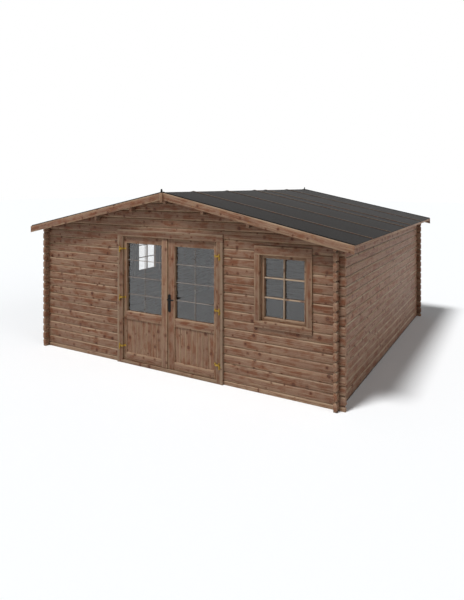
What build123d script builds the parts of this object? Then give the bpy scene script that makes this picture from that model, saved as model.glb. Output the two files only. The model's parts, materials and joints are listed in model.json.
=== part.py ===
"""Log cabin with a low double-pitched roof, a glazed double door and two fixed windows.

Frame: +X to the right across the front, +Y towards the rear, +Z up; the origin is on the ground
under the middle of the cabin.  All sizes are in millimetres.
"""
import math
import os

from build123d import *

# ---- walls ------------------------------------------------------------------------------------
WALL_WIDTH = 4870.0          # across the front, outer face to outer face
WALL_DEPTH = 4914.0          # front to rear, outer face to outer face
LOG = 44.0                   # thickness of a wall log
COURSE = 114.0               # height of a wall log
SIDE_COURSES = 17            # whole courses in a side wall
TOP_LOG_RISE = 8.0           # how much higher the top side log stands than its course
LOG_END = 77.0               # length of the crossed log ends past the wall faces
BEVEL_IN = 11.0              # depth of the bevel on a log's long edges
BEVEL_UP = 14.0              # height of the same bevel

# ---- roof -------------------------------------------------------------------------------------
PITCH = 12.0                 # slope of the roof in degrees
EAVE_OVERHANG = 223.0        # from the side wall's face to the outside of the eave strip
VERGE_OVERHANG = 140.0       # from the gable's face to the outside of the bargeboard
DECK = 19.0                  # thickness of the roof boards
FELT = 6.0                   # thickness of the roofing felt
BATTEN_WIDTH = 28.0          # battens that hold the joints of the felt
BATTEN_HEIGHT = 9.0
FELT_STRIP = 990.0           # visible width of a strip of felt
FRONT_STRIP = 772.0          # width of the narrower strip at the front verge
BARGEBOARD = 19.0
BARGEBOARD_HEIGHT = 95.0
EAVE_STRIP = 18.0
EAVE_STRIP_HEIGHT = 32.0
PURLIN_HEIGHT = 140.0
PURLIN_PLACES = (610.0, 1290.0)   # distance of the side purlins from the ridge
FINIAL_WIDTH = 48.0
FINIAL_LENGTH = 120.0
FINIAL = 18.0
CAP_WIDTH = 28.0
CAP_HEIGHT = 50.0

# ---- floor ------------------------------------------------------------------------------------
BEARER_HEIGHT = 28.0
BEARER_WIDTH = 60.0
BEARER_COUNT = 9
FLOOR = 19.0
FLOOR_GAP = 2.0              # room left between the floor and the walls

# ---- door -------------------------------------------------------------------------------------
DOORWAY = 1602.0             # clear width between the jambs
DOOR_TOP_COURSES = 16.5      # the doorway in the logs ends at this joint
JAMB = 45.0
DOOR_HEAD = 38.0
THRESHOLD = 42.0
CASING = 24.0                # thickness of the door casing
CASING_WIDTH = 97.0
INNER_CASING = 20.0
INNER_CASING_WIDTH = 60.0
STOP = 15.0                  # how far the stop stands into the doorway
STOP_DEPTH = 20.0
LEAF = 44.0                  # thickness of a door leaf
LEAF_SETBACK = 4.0           # from the wall's face back to the leaf's face
LEAF_GAP = 5.0               # round the leaf, in the frame
MEETING_GAP = 8.0            # between the two leaves
HINGE_STILE = 46.0
MEETING_STILE = 109.0
TOP_RAIL = 96.0
BOTTOM_RAIL = 104.0
MID_RAIL = 110.0
MID_RAIL_Z = 640.0           # underside of the middle rail
GLASS = 4.0
GLASS_SETBACK = 36.0         # from a leaf's or sash's face back to its glass
PANEL = 16.0
PANEL_SETBACK = 14.0
COVER_WIDTH = 92.0           # strip that covers the left leaf's meeting stile
COVER = 14.0

# ---- hinges and handle ------------------------------------------------------------------------
LOW_HINGE_Z = 235.0          # where the two halves of a hinge meet
MIDDLE_HINGE_Z = 941.0
TOP_HINGE_DROP = 190.0       # from the leaf's top down to the top hinge
HINGE_OFFSET = 49.0          # from the doorway's side out to the hinge pin
HINGE_STANDOFF = 9.0         # from the casing's face out to the hinge pin
KNUCKLE_RADIUS = 8.0
PIN_RADIUS = 4.0
PIN_CLEARANCE = 0.08
KNUCKLE = 26.0               # height of one half of a hinge
KNUCKLE_GAP = 0.3
HINGE_PLATE = 3.0
HINGE_WING = 42.0            # length of a hinge plate past its pin
STRAP_ON_LEAF = 36.0
HANDLE_INSET = 23.0          # from the meeting edge to the handle's middle
HANDLE_PLATE = 3.0
HANDLE_PLATE_WIDTH = 44.0
HANDLE_PLATE_LENGTH = 250.0
HANDLE_Z = 954.0             # middle of the handle plate
LEVER_Z = 1010.0
LEVER_LENGTH = 90.0
LEVER_STANDOFF = 40.0        # from the leaf's face to the lever
LEVER = 10.0
LEVER_RADIUS = 9.0
SPINDLE_CLEARANCE = 0.08
SPINDLE_BORE = 14.0          # radius of the hole through the stile

# ---- windows ----------------------------------------------------------------------------------
WINDOW_WIDTH = 620.0         # clear width inside the window frame
WINDOW_COURSES = 8           # courses that a window's opening takes out
FRONT_WINDOW_X = 1735.0
FRONT_WINDOW_FROM = 7.5      # the joint at which the front window's opening starts
SIDE_WINDOW_Y = 0.0
SIDE_WINDOW_FROM = 7.0
WINDOW_FRAME = 45.0
WINDOW_SIDE_CASING = 72.0
WINDOW_HEAD_CASING = 115.0
WINDOW_FOOT_CASING = 80.0
WINDOW_CASING = 20.0
SASH = 44.0
SASH_SETBACK = 30.0          # from the wall's face back to the sash
SASH_MEMBER = 42.0

# ---- derived sizes ----------------------------------------------------------------------------
SLOPE = math.tan(math.radians(PITCH))
RISE = 1 / math.cos(math.radians(PITCH))       # vertical height of one unit square to the slope
HALF_WIDTH = WALL_WIDTH / 2
HALF_DEPTH = WALL_DEPTH / 2
PLATE_Z = SIDE_COURSES * COURSE + TOP_LOG_RISE
RIDGE_Z = PLATE_Z + HALF_WIDTH * SLOPE         # underside of the roof boards at the ridge
EAVE_X = HALF_WIDTH + EAVE_OVERHANG
VERGE_Y = HALF_DEPTH + VERGE_OVERHANG
DECK_END_Y = VERGE_Y - BARGEBOARD
HALF_DOORWAY = DOORWAY / 2
HALF_ROUGH_DOOR = HALF_DOORWAY + JAMB
ROUGH_DOOR_Z = DOOR_TOP_COURSES * COURSE
DOOR_HEAD_Z = ROUGH_DOOR_Z - DOOR_HEAD
LEAF_EDGE = HALF_DOORWAY - LEAF_GAP
LEAF_BOTTOM = THRESHOLD + LEAF_GAP
LEAF_TOP = DOOR_HEAD_Z - LEAF_GAP
HINGE_HEIGHTS = (LOW_HINGE_Z, MIDDLE_HINGE_Z, LEAF_TOP - TOP_HINGE_DROP)
STOP_FROM = LEAF_SETBACK + LEAF + LEAF_GAP
JAMB_DEPTH = STOP_FROM + STOP_DEPTH
PIN_X = HALF_DOORWAY + HINGE_OFFSET
PIN_D = -(CASING + HINGE_STANDOFF)
WINDOW_ROUGH = WINDOW_WIDTH + 2 * WINDOW_FRAME
FLOOR_Z = BEARER_HEIGHT + FLOOR
FAR = 10000.0


def underside(x):
    """Height of the underside of the roof boards at a distance x from the ridge."""
    return RIDGE_Z - abs(x) * SLOPE


def deck_top(x):
    """Height of the top of the roof boards."""
    return underside(x) + DECK * RISE


def felt_top(x):
    """Height of the top of the felt."""
    return deck_top(x) + FELT * RISE


def block(x_range, y_range, z_range, mode=Mode.ADD):
    """A squared piece between two planes on each axis."""
    spans = (x_range, y_range, z_range)
    middle = tuple((low + high) / 2 for low, high in spans)
    with Locations(middle):
        Box(*(high - low for low, high in spans), mode=mode)


def front_block(u_range, d_range, z_range, mode=Mode.ADD):
    """A squared piece on the front wall: u along the wall, d inwards from its face."""
    y_range = tuple(d - HALF_DEPTH for d in d_range)
    block(u_range, y_range, z_range, mode)


def left_block(u_range, d_range, z_range, mode=Mode.ADD):
    """A squared piece on the left wall: u along the wall, d inwards from its face."""
    x_range = tuple(d - HALF_WIDTH for d in d_range)
    block(x_range, u_range, z_range, mode)


def both_sides(low, high):
    """The span from low to high on the right, and its mirror image on the left."""
    return (low, high), (-high, -low)


def slope_profile(side, x_in, x_out, low, high):
    """A face between two roof lines, from x_in to x_out, on one side of the ridge."""
    with BuildLine() as outline:
        Polyline(
            (side * x_in, low(x_in)),
            (side * x_out, low(x_out)),
            (side * x_out, high(x_out)),
            (side * x_in, high(x_in)),
            close=True,
        )
    make_face(outline.edges())


def upright(y):
    """The plane of a gable at y, whose own axes are the cabin's X and Z."""
    return Plane(origin=(0, y, 0), x_dir=(1, 0, 0), z_dir=(0, -1, 0))


def finish(part, label):
    """Label a finished piece and write it out."""
    part.part.label = label
    export_step(part.part, f"parts/{label}.step")


os.makedirs("parts", exist_ok=True)


# ---- log walls --------------------------------------------------------------------------------
def log_profile(middle, bottom, top, bevel_bottom=True, bevel_top=True):
    """The section of a log, with bevelled long edges that make the grooves between courses."""
    low_in, low_up = (BEVEL_IN, BEVEL_UP) if bevel_bottom else (0, 0)
    top_in, top_up = (BEVEL_IN, BEVEL_UP) if bevel_top else (0, 0)
    half = LOG / 2
    right = [(middle + half - low_in, bottom)]
    if bevel_bottom:
        right.append((middle + half, bottom + low_up))
    if bevel_top:
        right.append((middle + half, top - top_up))
    right.append((middle + half - top_in, top))
    left = [(2 * middle - s, z) for s, z in reversed(right)]
    with BuildLine() as outline:
        Polyline(*right, *left, close=True)
    make_face(outline.edges())


def spans_between(start, end, gaps):
    """The stretches of start to end that the gaps leave."""
    spans = []
    for low, high in sorted(gaps):
        spans.append((start, low))
        start = high
    spans.append((start, end))
    return spans


def gable_courses():
    """Bottom and top of each course in a gable wall, up to the ridge."""
    courses = [(0.0, COURSE / 2)]
    while RIDGE_Z - courses[-1][1] > COURSE / 3:
        bottom = courses[-1][1]
        top = bottom + COURSE
        courses.append((bottom, RIDGE_Z if RIDGE_Z - top < COURSE / 3 else top))
    return courses


def side_courses():
    """Bottom and top of each course in a side wall; the top one is cut by the roof."""
    courses = [(k * COURSE, (k + 1) * COURSE) for k in range(SIDE_COURSES)]
    courses[-1] = (courses[-1][0], underside(HALF_WIDTH - LOG))
    return courses


def gaps_at(middle, openings):
    """The openings, as spans along the wall, that a course with this middle height meets."""
    return [span for span, (low, high) in openings if low < middle < high]


def cut_crossings(across, along, courses, column_in, column_out):
    """Take the upper and lower quarter out of each log where the other wall's logs cross it."""
    for bottom, top in courses:
        middle = bottom + COURSE / 2 if bottom else top - COURSE / 2
        if along == "x" and not bottom:
            middle = 0.0
        for column in both_sides(column_in, column_out):
            for z_range in ((middle + COURSE / 4, top + 1), (bottom - 1, middle - COURSE / 4)):
                if z_range[1] <= bottom or z_range[0] >= top:
                    continue
                spans = (column, across) if along == "x" else (across, column)
                block(*spans, z_range, Mode.SUBTRACT)


def cut_to_roof():
    """Take away all that stands above the underside of the roof boards."""
    for side in (1, -1):
        with BuildSketch(upright(-FAR / 2)) as above:
            slope_profile(side, 0, FAR / 2, underside, lambda x: RIDGE_Z + FAR)
        extrude(above.sketch, amount=-FAR, mode=Mode.SUBTRACT)


def purlin_bottom(x):
    """Height of the underside of the purlin at a distance x from the ridge."""
    return underside(x) - PURLIN_HEIGHT


def gable_wall(parity, middle_y, openings):
    """Every second log of the front or rear wall."""
    courses = gable_courses()[parity::2]
    across = (middle_y - LOG / 2 - 1, middle_y + LOG / 2 + 1)
    with BuildPart() as wall:
        for bottom, top in courses:
            for start, end in spans_between(
                -HALF_WIDTH - LOG_END,
                HALF_WIDTH + LOG_END,
                gaps_at((bottom + top) / 2, openings),
            ):
                with BuildSketch(Plane.YZ.offset(start)):
                    log_profile(middle_y, bottom, top, bottom > 0, top < RIDGE_Z)
                extrude(amount=end - start)
        cut_crossings(across, "x", courses, HALF_WIDTH - LOG, HALF_WIDTH)
        cut_to_roof()
        for place in (0.0, *PURLIN_PLACES):
            for x in {place, -place}:
                block((x - LOG / 2, x + LOG / 2), across, (purlin_bottom(x), FAR), Mode.SUBTRACT)
    return wall


def side_wall(parity, middle_x, openings):
    """Every second log of the left or right wall."""
    courses = side_courses()[parity::2]
    across = (middle_x - LOG / 2 - 1, middle_x + LOG / 2 + 1)
    with BuildPart() as wall:
        for bottom, top in courses:
            last = top > SIDE_COURSES * COURSE
            for start, end in spans_between(
                -HALF_DEPTH - LOG_END,
                HALF_DEPTH + LOG_END,
                gaps_at(bottom + COURSE / 2, openings),
            ):
                with BuildSketch(upright(start)):
                    log_profile(middle_x, bottom, top, bottom > 0, not last)
                extrude(amount=start - end)
        cut_crossings(across, "y", courses, HALF_DEPTH - LOG, HALF_DEPTH)
        cut_to_roof()
    return wall


def window_span(middle):
    """The span that a window's opening takes out of the logs."""
    return (middle - WINDOW_ROUGH / 2, middle + WINDOW_ROUGH / 2)


def window_heights(first_joint):
    """Bottom and top of a window's opening in the logs."""
    return (first_joint * COURSE, (first_joint + WINDOW_COURSES) * COURSE)


front_openings = [
    ((-HALF_ROUGH_DOOR, HALF_ROUGH_DOOR), (-1.0, ROUGH_DOOR_Z)),
    (window_span(FRONT_WINDOW_X), window_heights(FRONT_WINDOW_FROM)),
]
left_openings = [(window_span(SIDE_WINDOW_Y), window_heights(SIDE_WINDOW_FROM))]

for parity, name in ((0, "even"), (1, "odd")):
    finish(gable_wall(parity, -HALF_DEPTH + LOG / 2, front_openings), f"front_wall_{name}_logs")
    finish(gable_wall(parity, HALF_DEPTH - LOG / 2, []), f"rear_wall_{name}_logs")
    finish(side_wall(parity, -HALF_WIDTH + LOG / 2, left_openings), f"left_wall_{name}_logs")
    finish(side_wall(parity, HALF_WIDTH - LOG / 2, []), f"right_wall_{name}_logs")


# ---- roof -------------------------------------------------------------------------------------
def purlin(x):
    """One purlin, with its top cut to the slope of the roof."""
    left, right = x - LOG / 2, x + LOG / 2
    with BuildSketch(upright(-HALF_DEPTH - LOG_END)) as section:
        with BuildLine():
            crown = [(0, RIDGE_Z)] if x == 0 else []
            Polyline(
                (left, purlin_bottom(x)),
                (right, purlin_bottom(x)),
                (right, underside(right)),
                *crown,
                (left, underside(left)),
                close=True,
            )
        make_face()
    extrude(section.sketch, amount=-(WALL_DEPTH + 2 * LOG_END))


with BuildPart() as ridge_purlin:
    purlin(0)
finish(ridge_purlin, "ridge_purlin")

with BuildPart() as side_purlins:
    for place in PURLIN_PLACES:
        purlin(place)
        purlin(-place)
finish(side_purlins, "side_purlins")

batten_places = [-VERGE_Y + FRONT_STRIP + i * FELT_STRIP for i in range(3)]
batten_places += [VERGE_Y - i * FELT_STRIP for i in (2, 1)]

for side, name in ((-1, "left"), (1, "right")):
    with BuildPart() as roof_boards:
        with BuildSketch(upright(-DECK_END_Y)):
            slope_profile(side, 0, EAVE_X - EAVE_STRIP, underside, deck_top)
        extrude(amount=-2 * DECK_END_Y)
    finish(roof_boards, f"{name}_roof_boards")

    with BuildPart() as felt:
        with BuildSketch(upright(-DECK_END_Y)):
            slope_profile(side, 0, EAVE_X, deck_top, felt_top)
        extrude(amount=-2 * DECK_END_Y)
    finish(felt, f"{name}_roof_felt")

    with BuildPart() as felt_battens:
        for place in batten_places:
            with BuildSketch(upright(place - BATTEN_WIDTH / 2)):
                slope_profile(
                    side, 0, EAVE_X, felt_top, lambda x: felt_top(x) + BATTEN_HEIGHT * RISE
                )
            extrude(amount=-BATTEN_WIDTH)
    finish(felt_battens, f"{name}_felt_battens")

with BuildPart() as eave_strips:
    for side in (-1, 1):
        with BuildSketch(upright(-DECK_END_Y)):
            slope_profile(
                side,
                EAVE_X - EAVE_STRIP,
                EAVE_X,
                lambda x: deck_top(EAVE_X) - EAVE_STRIP_HEIGHT,
                deck_top,
            )
        extrude(amount=-2 * DECK_END_Y)
finish(eave_strips, "eave_strips")

APEX_GAP = 0.3               # between the two bargeboards of a gable, behind the finial
for end, name in ((-1, "front"), (1, "rear")):
    with BuildPart() as bargeboards:
        for side in (-1, 1):
            with BuildSketch(upright(end * VERGE_Y)):
                slope_profile(
                    side,
                    APEX_GAP / 2,
                    EAVE_X,
                    lambda x: deck_top(x) - BARGEBOARD_HEIGHT * RISE,
                    deck_top,
                )
            extrude(amount=end * BARGEBOARD)
    finish(bargeboards, f"{name}_bargeboards")

with BuildPart() as finials:
    for end in (-1, 1):
        with BuildSketch(upright(end * VERGE_Y)):
            half = FINIAL_WIDTH / 2
            with BuildLine():
                Polyline(
                    (0, RIDGE_Z - FINIAL_LENGTH),
                    (half, RIDGE_Z - FINIAL_LENGTH + half),
                    (half, deck_top(half)),
                    (0, deck_top(0)),
                    (-half, deck_top(half)),
                    (-half, RIDGE_Z - FINIAL_LENGTH + half),
                    close=True,
                )
            make_face()
        extrude(amount=-end * FINIAL)
finish(finials, "finials")

with BuildPart() as ridge_caps:
    for end in (-1, 1):
        with BuildSketch(upright(end * (VERGE_Y + FINIAL))):
            half = CAP_WIDTH / 2
            with BuildLine():
                Polyline(
                    (0, deck_top(0)),
                    (half, deck_top(half)),
                    (half, deck_top(0) + CAP_HEIGHT - half),
                    (0, deck_top(0) + CAP_HEIGHT),
                    (-half, deck_top(0) + CAP_HEIGHT - half),
                    (-half, deck_top(half)),
                    close=True,
                )
            make_face()
        extrude(amount=end * (FINIAL + BARGEBOARD))
finish(ridge_caps, "ridge_caps")


# ---- floor ------------------------------------------------------------------------------------
INSIDE_X = HALF_WIDTH - LOG
INSIDE_Y = HALF_DEPTH - LOG
floor_x = (-INSIDE_X + FLOOR_GAP, INSIDE_X - FLOOR_GAP)

with BuildPart() as floor_bearers:
    first = -HALF_DEPTH + JAMB_DEPTH + BEARER_WIDTH
    last = INSIDE_Y - BEARER_WIDTH
    for i in range(BEARER_COUNT):
        y = first + i * (last - first) / (BEARER_COUNT - 1)
        block(floor_x, (y - BEARER_WIDTH / 2, y + BEARER_WIDTH / 2), (0, BEARER_HEIGHT))
finish(floor_bearers, "floor_bearers")

with BuildPart() as floor_boards:
    block(floor_x, (-INSIDE_Y + FLOOR_GAP, INSIDE_Y - FLOOR_GAP), (BEARER_HEIGHT, FLOOR_Z))
    front_block(
        (-HALF_ROUGH_DOOR - FLOOR_GAP, HALF_ROUGH_DOOR + FLOOR_GAP),
        (0, JAMB_DEPTH + FLOOR_GAP),
        (0, FLOOR_Z),
        Mode.SUBTRACT,
    )
finish(floor_boards, "floor_boards")


# ---- door frame -------------------------------------------------------------------------------
with BuildPart() as door_jambs:
    for u_range in both_sides(HALF_DOORWAY, HALF_ROUGH_DOOR):
        front_block(u_range, (0, JAMB_DEPTH), (0, DOOR_HEAD_Z))
    for u_range in both_sides(HALF_DOORWAY - STOP, HALF_DOORWAY):
        front_block(u_range, (STOP_FROM, JAMB_DEPTH), (THRESHOLD, DOOR_HEAD_Z))
finish(door_jambs, "door_jambs")

stop_span = (STOP - HALF_DOORWAY, HALF_DOORWAY - STOP)
with BuildPart() as door_head:
    front_block((-HALF_ROUGH_DOOR, HALF_ROUGH_DOOR), (0, JAMB_DEPTH), (DOOR_HEAD_Z, ROUGH_DOOR_Z))
    front_block(stop_span, (STOP_FROM, JAMB_DEPTH), (DOOR_HEAD_Z - STOP, DOOR_HEAD_Z))
finish(door_head, "door_head")

with BuildPart() as door_threshold:
    front_block((-HALF_DOORWAY, HALF_DOORWAY), (-CASING, JAMB_DEPTH), (0, THRESHOLD))
    front_block(stop_span, (STOP_FROM, JAMB_DEPTH), (THRESHOLD, THRESHOLD + STOP))
finish(door_threshold, "door_threshold")

inner_casing_d = (LOG, LOG + INNER_CASING)
with BuildPart() as door_side_casings:
    for u_range in both_sides(HALF_DOORWAY, HALF_DOORWAY + CASING_WIDTH):
        front_block(u_range, (-CASING, 0), (0, DOOR_HEAD_Z))
    for u_range in both_sides(HALF_ROUGH_DOOR, HALF_ROUGH_DOOR + INNER_CASING_WIDTH):
        front_block(u_range, inner_casing_d, (FLOOR_Z, ROUGH_DOOR_Z))
finish(door_side_casings, "door_side_casings")

with BuildPart() as door_head_casings:
    casing_end = HALF_DOORWAY + CASING_WIDTH
    front_block(
        (-casing_end, casing_end), (-CASING, 0), (DOOR_HEAD_Z, DOOR_HEAD_Z + CASING_WIDTH)
    )
    inner_end = HALF_ROUGH_DOOR + INNER_CASING_WIDTH
    front_block(
        (-inner_end, inner_end), inner_casing_d, (ROUGH_DOOR_Z, ROUGH_DOOR_Z + INNER_CASING_WIDTH)
    )
finish(door_head_casings, "door_head_casings")


# ---- door leaves ------------------------------------------------------------------------------
LEAF_IN = MEETING_GAP / 2
GLASS_IN = LEAF_IN + MEETING_STILE
GLASS_OUT = LEAF_EDGE - HINGE_STILE
GLASS_BOTTOM = MID_RAIL_Z + MID_RAIL
GLASS_TOP = LEAF_TOP - TOP_RAIL
leaf_d = (LEAF_SETBACK, LEAF_SETBACK + LEAF)
glass_d = (LEAF_SETBACK + GLASS_SETBACK, LEAF_SETBACK + GLASS_SETBACK + GLASS)
panel_d = (LEAF_SETBACK + PANEL_SETBACK, LEAF_SETBACK + PANEL_SETBACK + PANEL)
HANDLE_X = LEAF_IN + HANDLE_INSET


def on_side(side, low, high):
    """The span from low to high on the right leaf, or its mirror image on the left leaf."""
    return (low, high) if side > 0 else (-high, -low)


def spindle_hole(radius, d_range):
    """Cut the handle's spindle hole through what lies between two depths."""
    with BuildSketch(upright(d_range[0] - HALF_DEPTH)) as hole:
        with Locations((HANDLE_X, LEVER_Z)):
            Circle(radius)
    extrude(hole.sketch, amount=d_range[0] - d_range[1], mode=Mode.SUBTRACT)


for side, name in ((-1, "left"), (1, "right")):
    with BuildPart() as leaf_stiles:
        for low, high in ((LEAF_IN, GLASS_IN), (GLASS_OUT, LEAF_EDGE)):
            front_block(on_side(side, low, high), leaf_d, (LEAF_BOTTOM, LEAF_TOP))
        if side > 0:
            spindle_hole(SPINDLE_BORE, leaf_d)
    finish(leaf_stiles, f"{name}_door_stiles")

    between = on_side(side, GLASS_IN, GLASS_OUT)
    with BuildPart() as leaf_rails:
        front_block(between, leaf_d, (LEAF_BOTTOM, LEAF_BOTTOM + BOTTOM_RAIL))
        front_block(between, leaf_d, (MID_RAIL_Z, GLASS_BOTTOM))
        front_block(between, leaf_d, (GLASS_TOP, LEAF_TOP))
    finish(leaf_rails, f"{name}_door_rails")

    with BuildPart() as leaf_panel:
        front_block(between, panel_d, (LEAF_BOTTOM + BOTTOM_RAIL, MID_RAIL_Z))
    finish(leaf_panel, f"{name}_door_panel")

    with BuildPart() as leaf_glass:
        front_block(between, glass_d, (GLASS_BOTTOM, GLASS_TOP))
    finish(leaf_glass, f"{name}_door_glass")

with BuildPart() as meeting_cover:
    front_block(
        (-LEAF_IN - COVER_WIDTH, -LEAF_IN),
        (LEAF_SETBACK - COVER, LEAF_SETBACK),
        (LEAF_BOTTOM, LEAF_TOP),
    )
finish(meeting_cover, "door_meeting_cover")


# ---- hinges -----------------------------------------------------------------------------------
def knuckle(side, bottom, top, radius, mode=Mode.ADD):
    """A round upright piece on a hinge's axis."""
    with BuildSketch(Plane.XY.offset(bottom)) as disc:
        with Locations((side * PIN_X, PIN_D - HALF_DEPTH)):
            Circle(radius)
    extrude(disc.sketch, amount=top - bottom, mode=mode)


wing_d = (-CASING - HINGE_PLATE, -CASING)
with BuildPart() as frame_hinges:
    for side in (-1, 1):
        for z in HINGE_HEIGHTS:
            low, high = z - KNUCKLE, z - KNUCKLE_GAP / 2
            knuckle(side, low, high, KNUCKLE_RADIUS)
            knuckle(side, low, z + KNUCKLE, PIN_RADIUS)
            wing = on_side(side, PIN_X - PIN_RADIUS, PIN_X + HINGE_WING)
            front_block(wing, wing_d, (low, high))
finish(frame_hinges, "frame_hinges")

strap_d = (PIN_D - PIN_RADIUS - HINGE_PLATE / 2, PIN_D - PIN_RADIUS + HINGE_PLATE / 2)
crank_x = HALF_DOORWAY - 2 * LEAF_GAP
for side, name in ((-1, "left"), (1, "right")):
    with BuildPart() as door_hinges:
        for z in HINGE_HEIGHTS:
            low, high = z + KNUCKLE_GAP / 2, z + KNUCKLE
            knuckle(side, low, high, KNUCKLE_RADIUS)
            strap = on_side(side, crank_x - HINGE_PLATE, PIN_X)
            front_block(strap, strap_d, (low, high))
            crank = on_side(side, crank_x - HINGE_PLATE, crank_x)
            front_block(crank, (strap_d[0], LEAF_SETBACK), (low, high))
            foot = on_side(side, crank_x - STRAP_ON_LEAF, crank_x)
            front_block(foot, (LEAF_SETBACK - HINGE_PLATE, LEAF_SETBACK), (low, high))
            knuckle(side, low - 1, high + 1, PIN_RADIUS + PIN_CLEARANCE, Mode.SUBTRACT)
    finish(door_hinges, f"{name}_door_hinges")


# ---- handle -----------------------------------------------------------------------------------
with BuildPart() as handle_plates:
    outside = (LEAF_SETBACK - HANDLE_PLATE, LEAF_SETBACK)
    inside = (LEAF_SETBACK + LEAF, LEAF_SETBACK + LEAF + HANDLE_PLATE)
    for d_range in (outside, inside):
        with BuildSketch(upright(d_range[0] - HALF_DEPTH)):
            with Locations((HANDLE_X, HANDLE_Z)):
                SlotOverall(HANDLE_PLATE_LENGTH, HANDLE_PLATE_WIDTH, rotation=90)
        extrude(amount=-HANDLE_PLATE)
        spindle_hole(LEVER_RADIUS + SPINDLE_CLEARANCE, d_range)
finish(handle_plates, "handle_plates")

with BuildPart() as door_lever:
    outer_d = LEAF_SETBACK - LEVER_STANDOFF - LEVER
    inner_d = LEAF_SETBACK + LEAF + LEVER_STANDOFF
    with BuildSketch(upright(outer_d - HALF_DEPTH)):
        with Locations((HANDLE_X, LEVER_Z)):
            Circle(LEVER_RADIUS)
    extrude(amount=outer_d - inner_d - LEVER)
    for d in (outer_d, inner_d):
        with BuildSketch(upright(d - HALF_DEPTH)):
            with Locations((HANDLE_X + LEVER_LENGTH / 2, LEVER_Z)):
                SlotCenterToCenter(LEVER_LENGTH, 2 * LEVER_RADIUS)
        extrude(amount=-LEVER)
finish(door_lever, "door_lever")


# ---- windows ----------------------------------------------------------------------------------
class Window:
    """One window: where it is, and the heights and spans that its members share."""

    def __init__(self, place_block, middle, first_joint):
        self.block = place_block
        self.middle = middle
        self.rough_bottom, self.rough_top = window_heights(first_joint)
        self.bottom = self.rough_bottom + WINDOW_FRAME
        self.top = self.rough_top - WINDOW_FRAME

    def across(self, half):
        """The span of this half width about the window's middle."""
        return (self.middle - half, self.middle + half)

    def both(self, low, high):
        """Two spans, right and left of the window's middle."""
        return [(self.middle + a, self.middle + b) for a, b in both_sides(low, high)]


windows = [
    Window(front_block, FRONT_WINDOW_X, FRONT_WINDOW_FROM),
    Window(left_block, SIDE_WINDOW_Y, SIDE_WINDOW_FROM),
]
HALF_WINDOW = WINDOW_WIDTH / 2
HALF_WINDOW_ROUGH = WINDOW_ROUGH / 2
window_frame_d = (0, SASH_SETBACK + SASH)
outer_d_range = (-WINDOW_CASING, 0)
sash_d = (SASH_SETBACK, SASH_SETBACK + SASH)
pane_d = (SASH_SETBACK + GLASS_SETBACK, SASH_SETBACK + GLASS_SETBACK + GLASS)

with BuildPart() as window_side_frames:
    for window in windows:
        for span in window.both(HALF_WINDOW, HALF_WINDOW_ROUGH):
            window.block(span, window_frame_d, (window.bottom, window.top))
finish(window_side_frames, "window_side_frames")

with BuildPart() as window_head_and_foot_frames:
    for window in windows:
        span = window.across(HALF_WINDOW_ROUGH)
        window.block(span, window_frame_d, (window.rough_bottom, window.bottom))
        window.block(span, window_frame_d, (window.top, window.rough_top))
finish(window_head_and_foot_frames, "window_head_and_foot_frames")

with BuildPart() as window_side_casings:
    for window in windows:
        for span in window.both(HALF_WINDOW, HALF_WINDOW + WINDOW_SIDE_CASING):
            window.block(span, outer_d_range, (window.bottom, window.top))
        for span in window.both(HALF_WINDOW_ROUGH, HALF_WINDOW_ROUGH + INNER_CASING_WIDTH):
            window.block(span, inner_casing_d, (window.rough_bottom, window.rough_top))
finish(window_side_casings, "window_side_casings")

with BuildPart() as window_head_and_foot_casings:
    for window in windows:
        outer = window.across(HALF_WINDOW + WINDOW_SIDE_CASING)
        inner = window.across(HALF_WINDOW_ROUGH + INNER_CASING_WIDTH)
        window.block(outer, outer_d_range, (window.top, window.top + WINDOW_HEAD_CASING))
        window.block(outer, outer_d_range, (window.bottom - WINDOW_FOOT_CASING, window.bottom))
        head = (window.rough_top, window.rough_top + INNER_CASING_WIDTH)
        foot = (window.rough_bottom - INNER_CASING_WIDTH, window.rough_bottom)
        window.block(inner, inner_casing_d, head)
        window.block(inner, inner_casing_d, foot)
finish(window_head_and_foot_casings, "window_head_and_foot_casings")

with BuildPart() as window_sash_stiles:
    for window in windows:
        for span in window.both(HALF_WINDOW - SASH_MEMBER, HALF_WINDOW):
            window.block(span, sash_d, (window.bottom, window.top))
finish(window_sash_stiles, "window_sash_stiles")

with BuildPart() as window_sash_rails:
    for window in windows:
        span = window.across(HALF_WINDOW - SASH_MEMBER)
        window.block(span, sash_d, (window.bottom, window.bottom + SASH_MEMBER))
        window.block(span, sash_d, (window.top - SASH_MEMBER, window.top))
finish(window_sash_rails, "window_sash_rails")

with BuildPart() as window_glass:
    for window in windows:
        span = window.across(HALF_WINDOW - SASH_MEMBER)
        window.block(span, pane_d, (window.bottom + SASH_MEMBER, window.top - SASH_MEMBER))
finish(window_glass, "window_glass")
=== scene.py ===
"""The looks of a garden log cabin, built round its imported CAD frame."""

import json
import logging
import math
import random
from collections.abc import Callable, Iterable, Iterator
from contextlib import contextmanager
from dataclasses import dataclass
from enum import Enum

import bmesh
import bpy
from mathutils import Matrix, Vector

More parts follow.
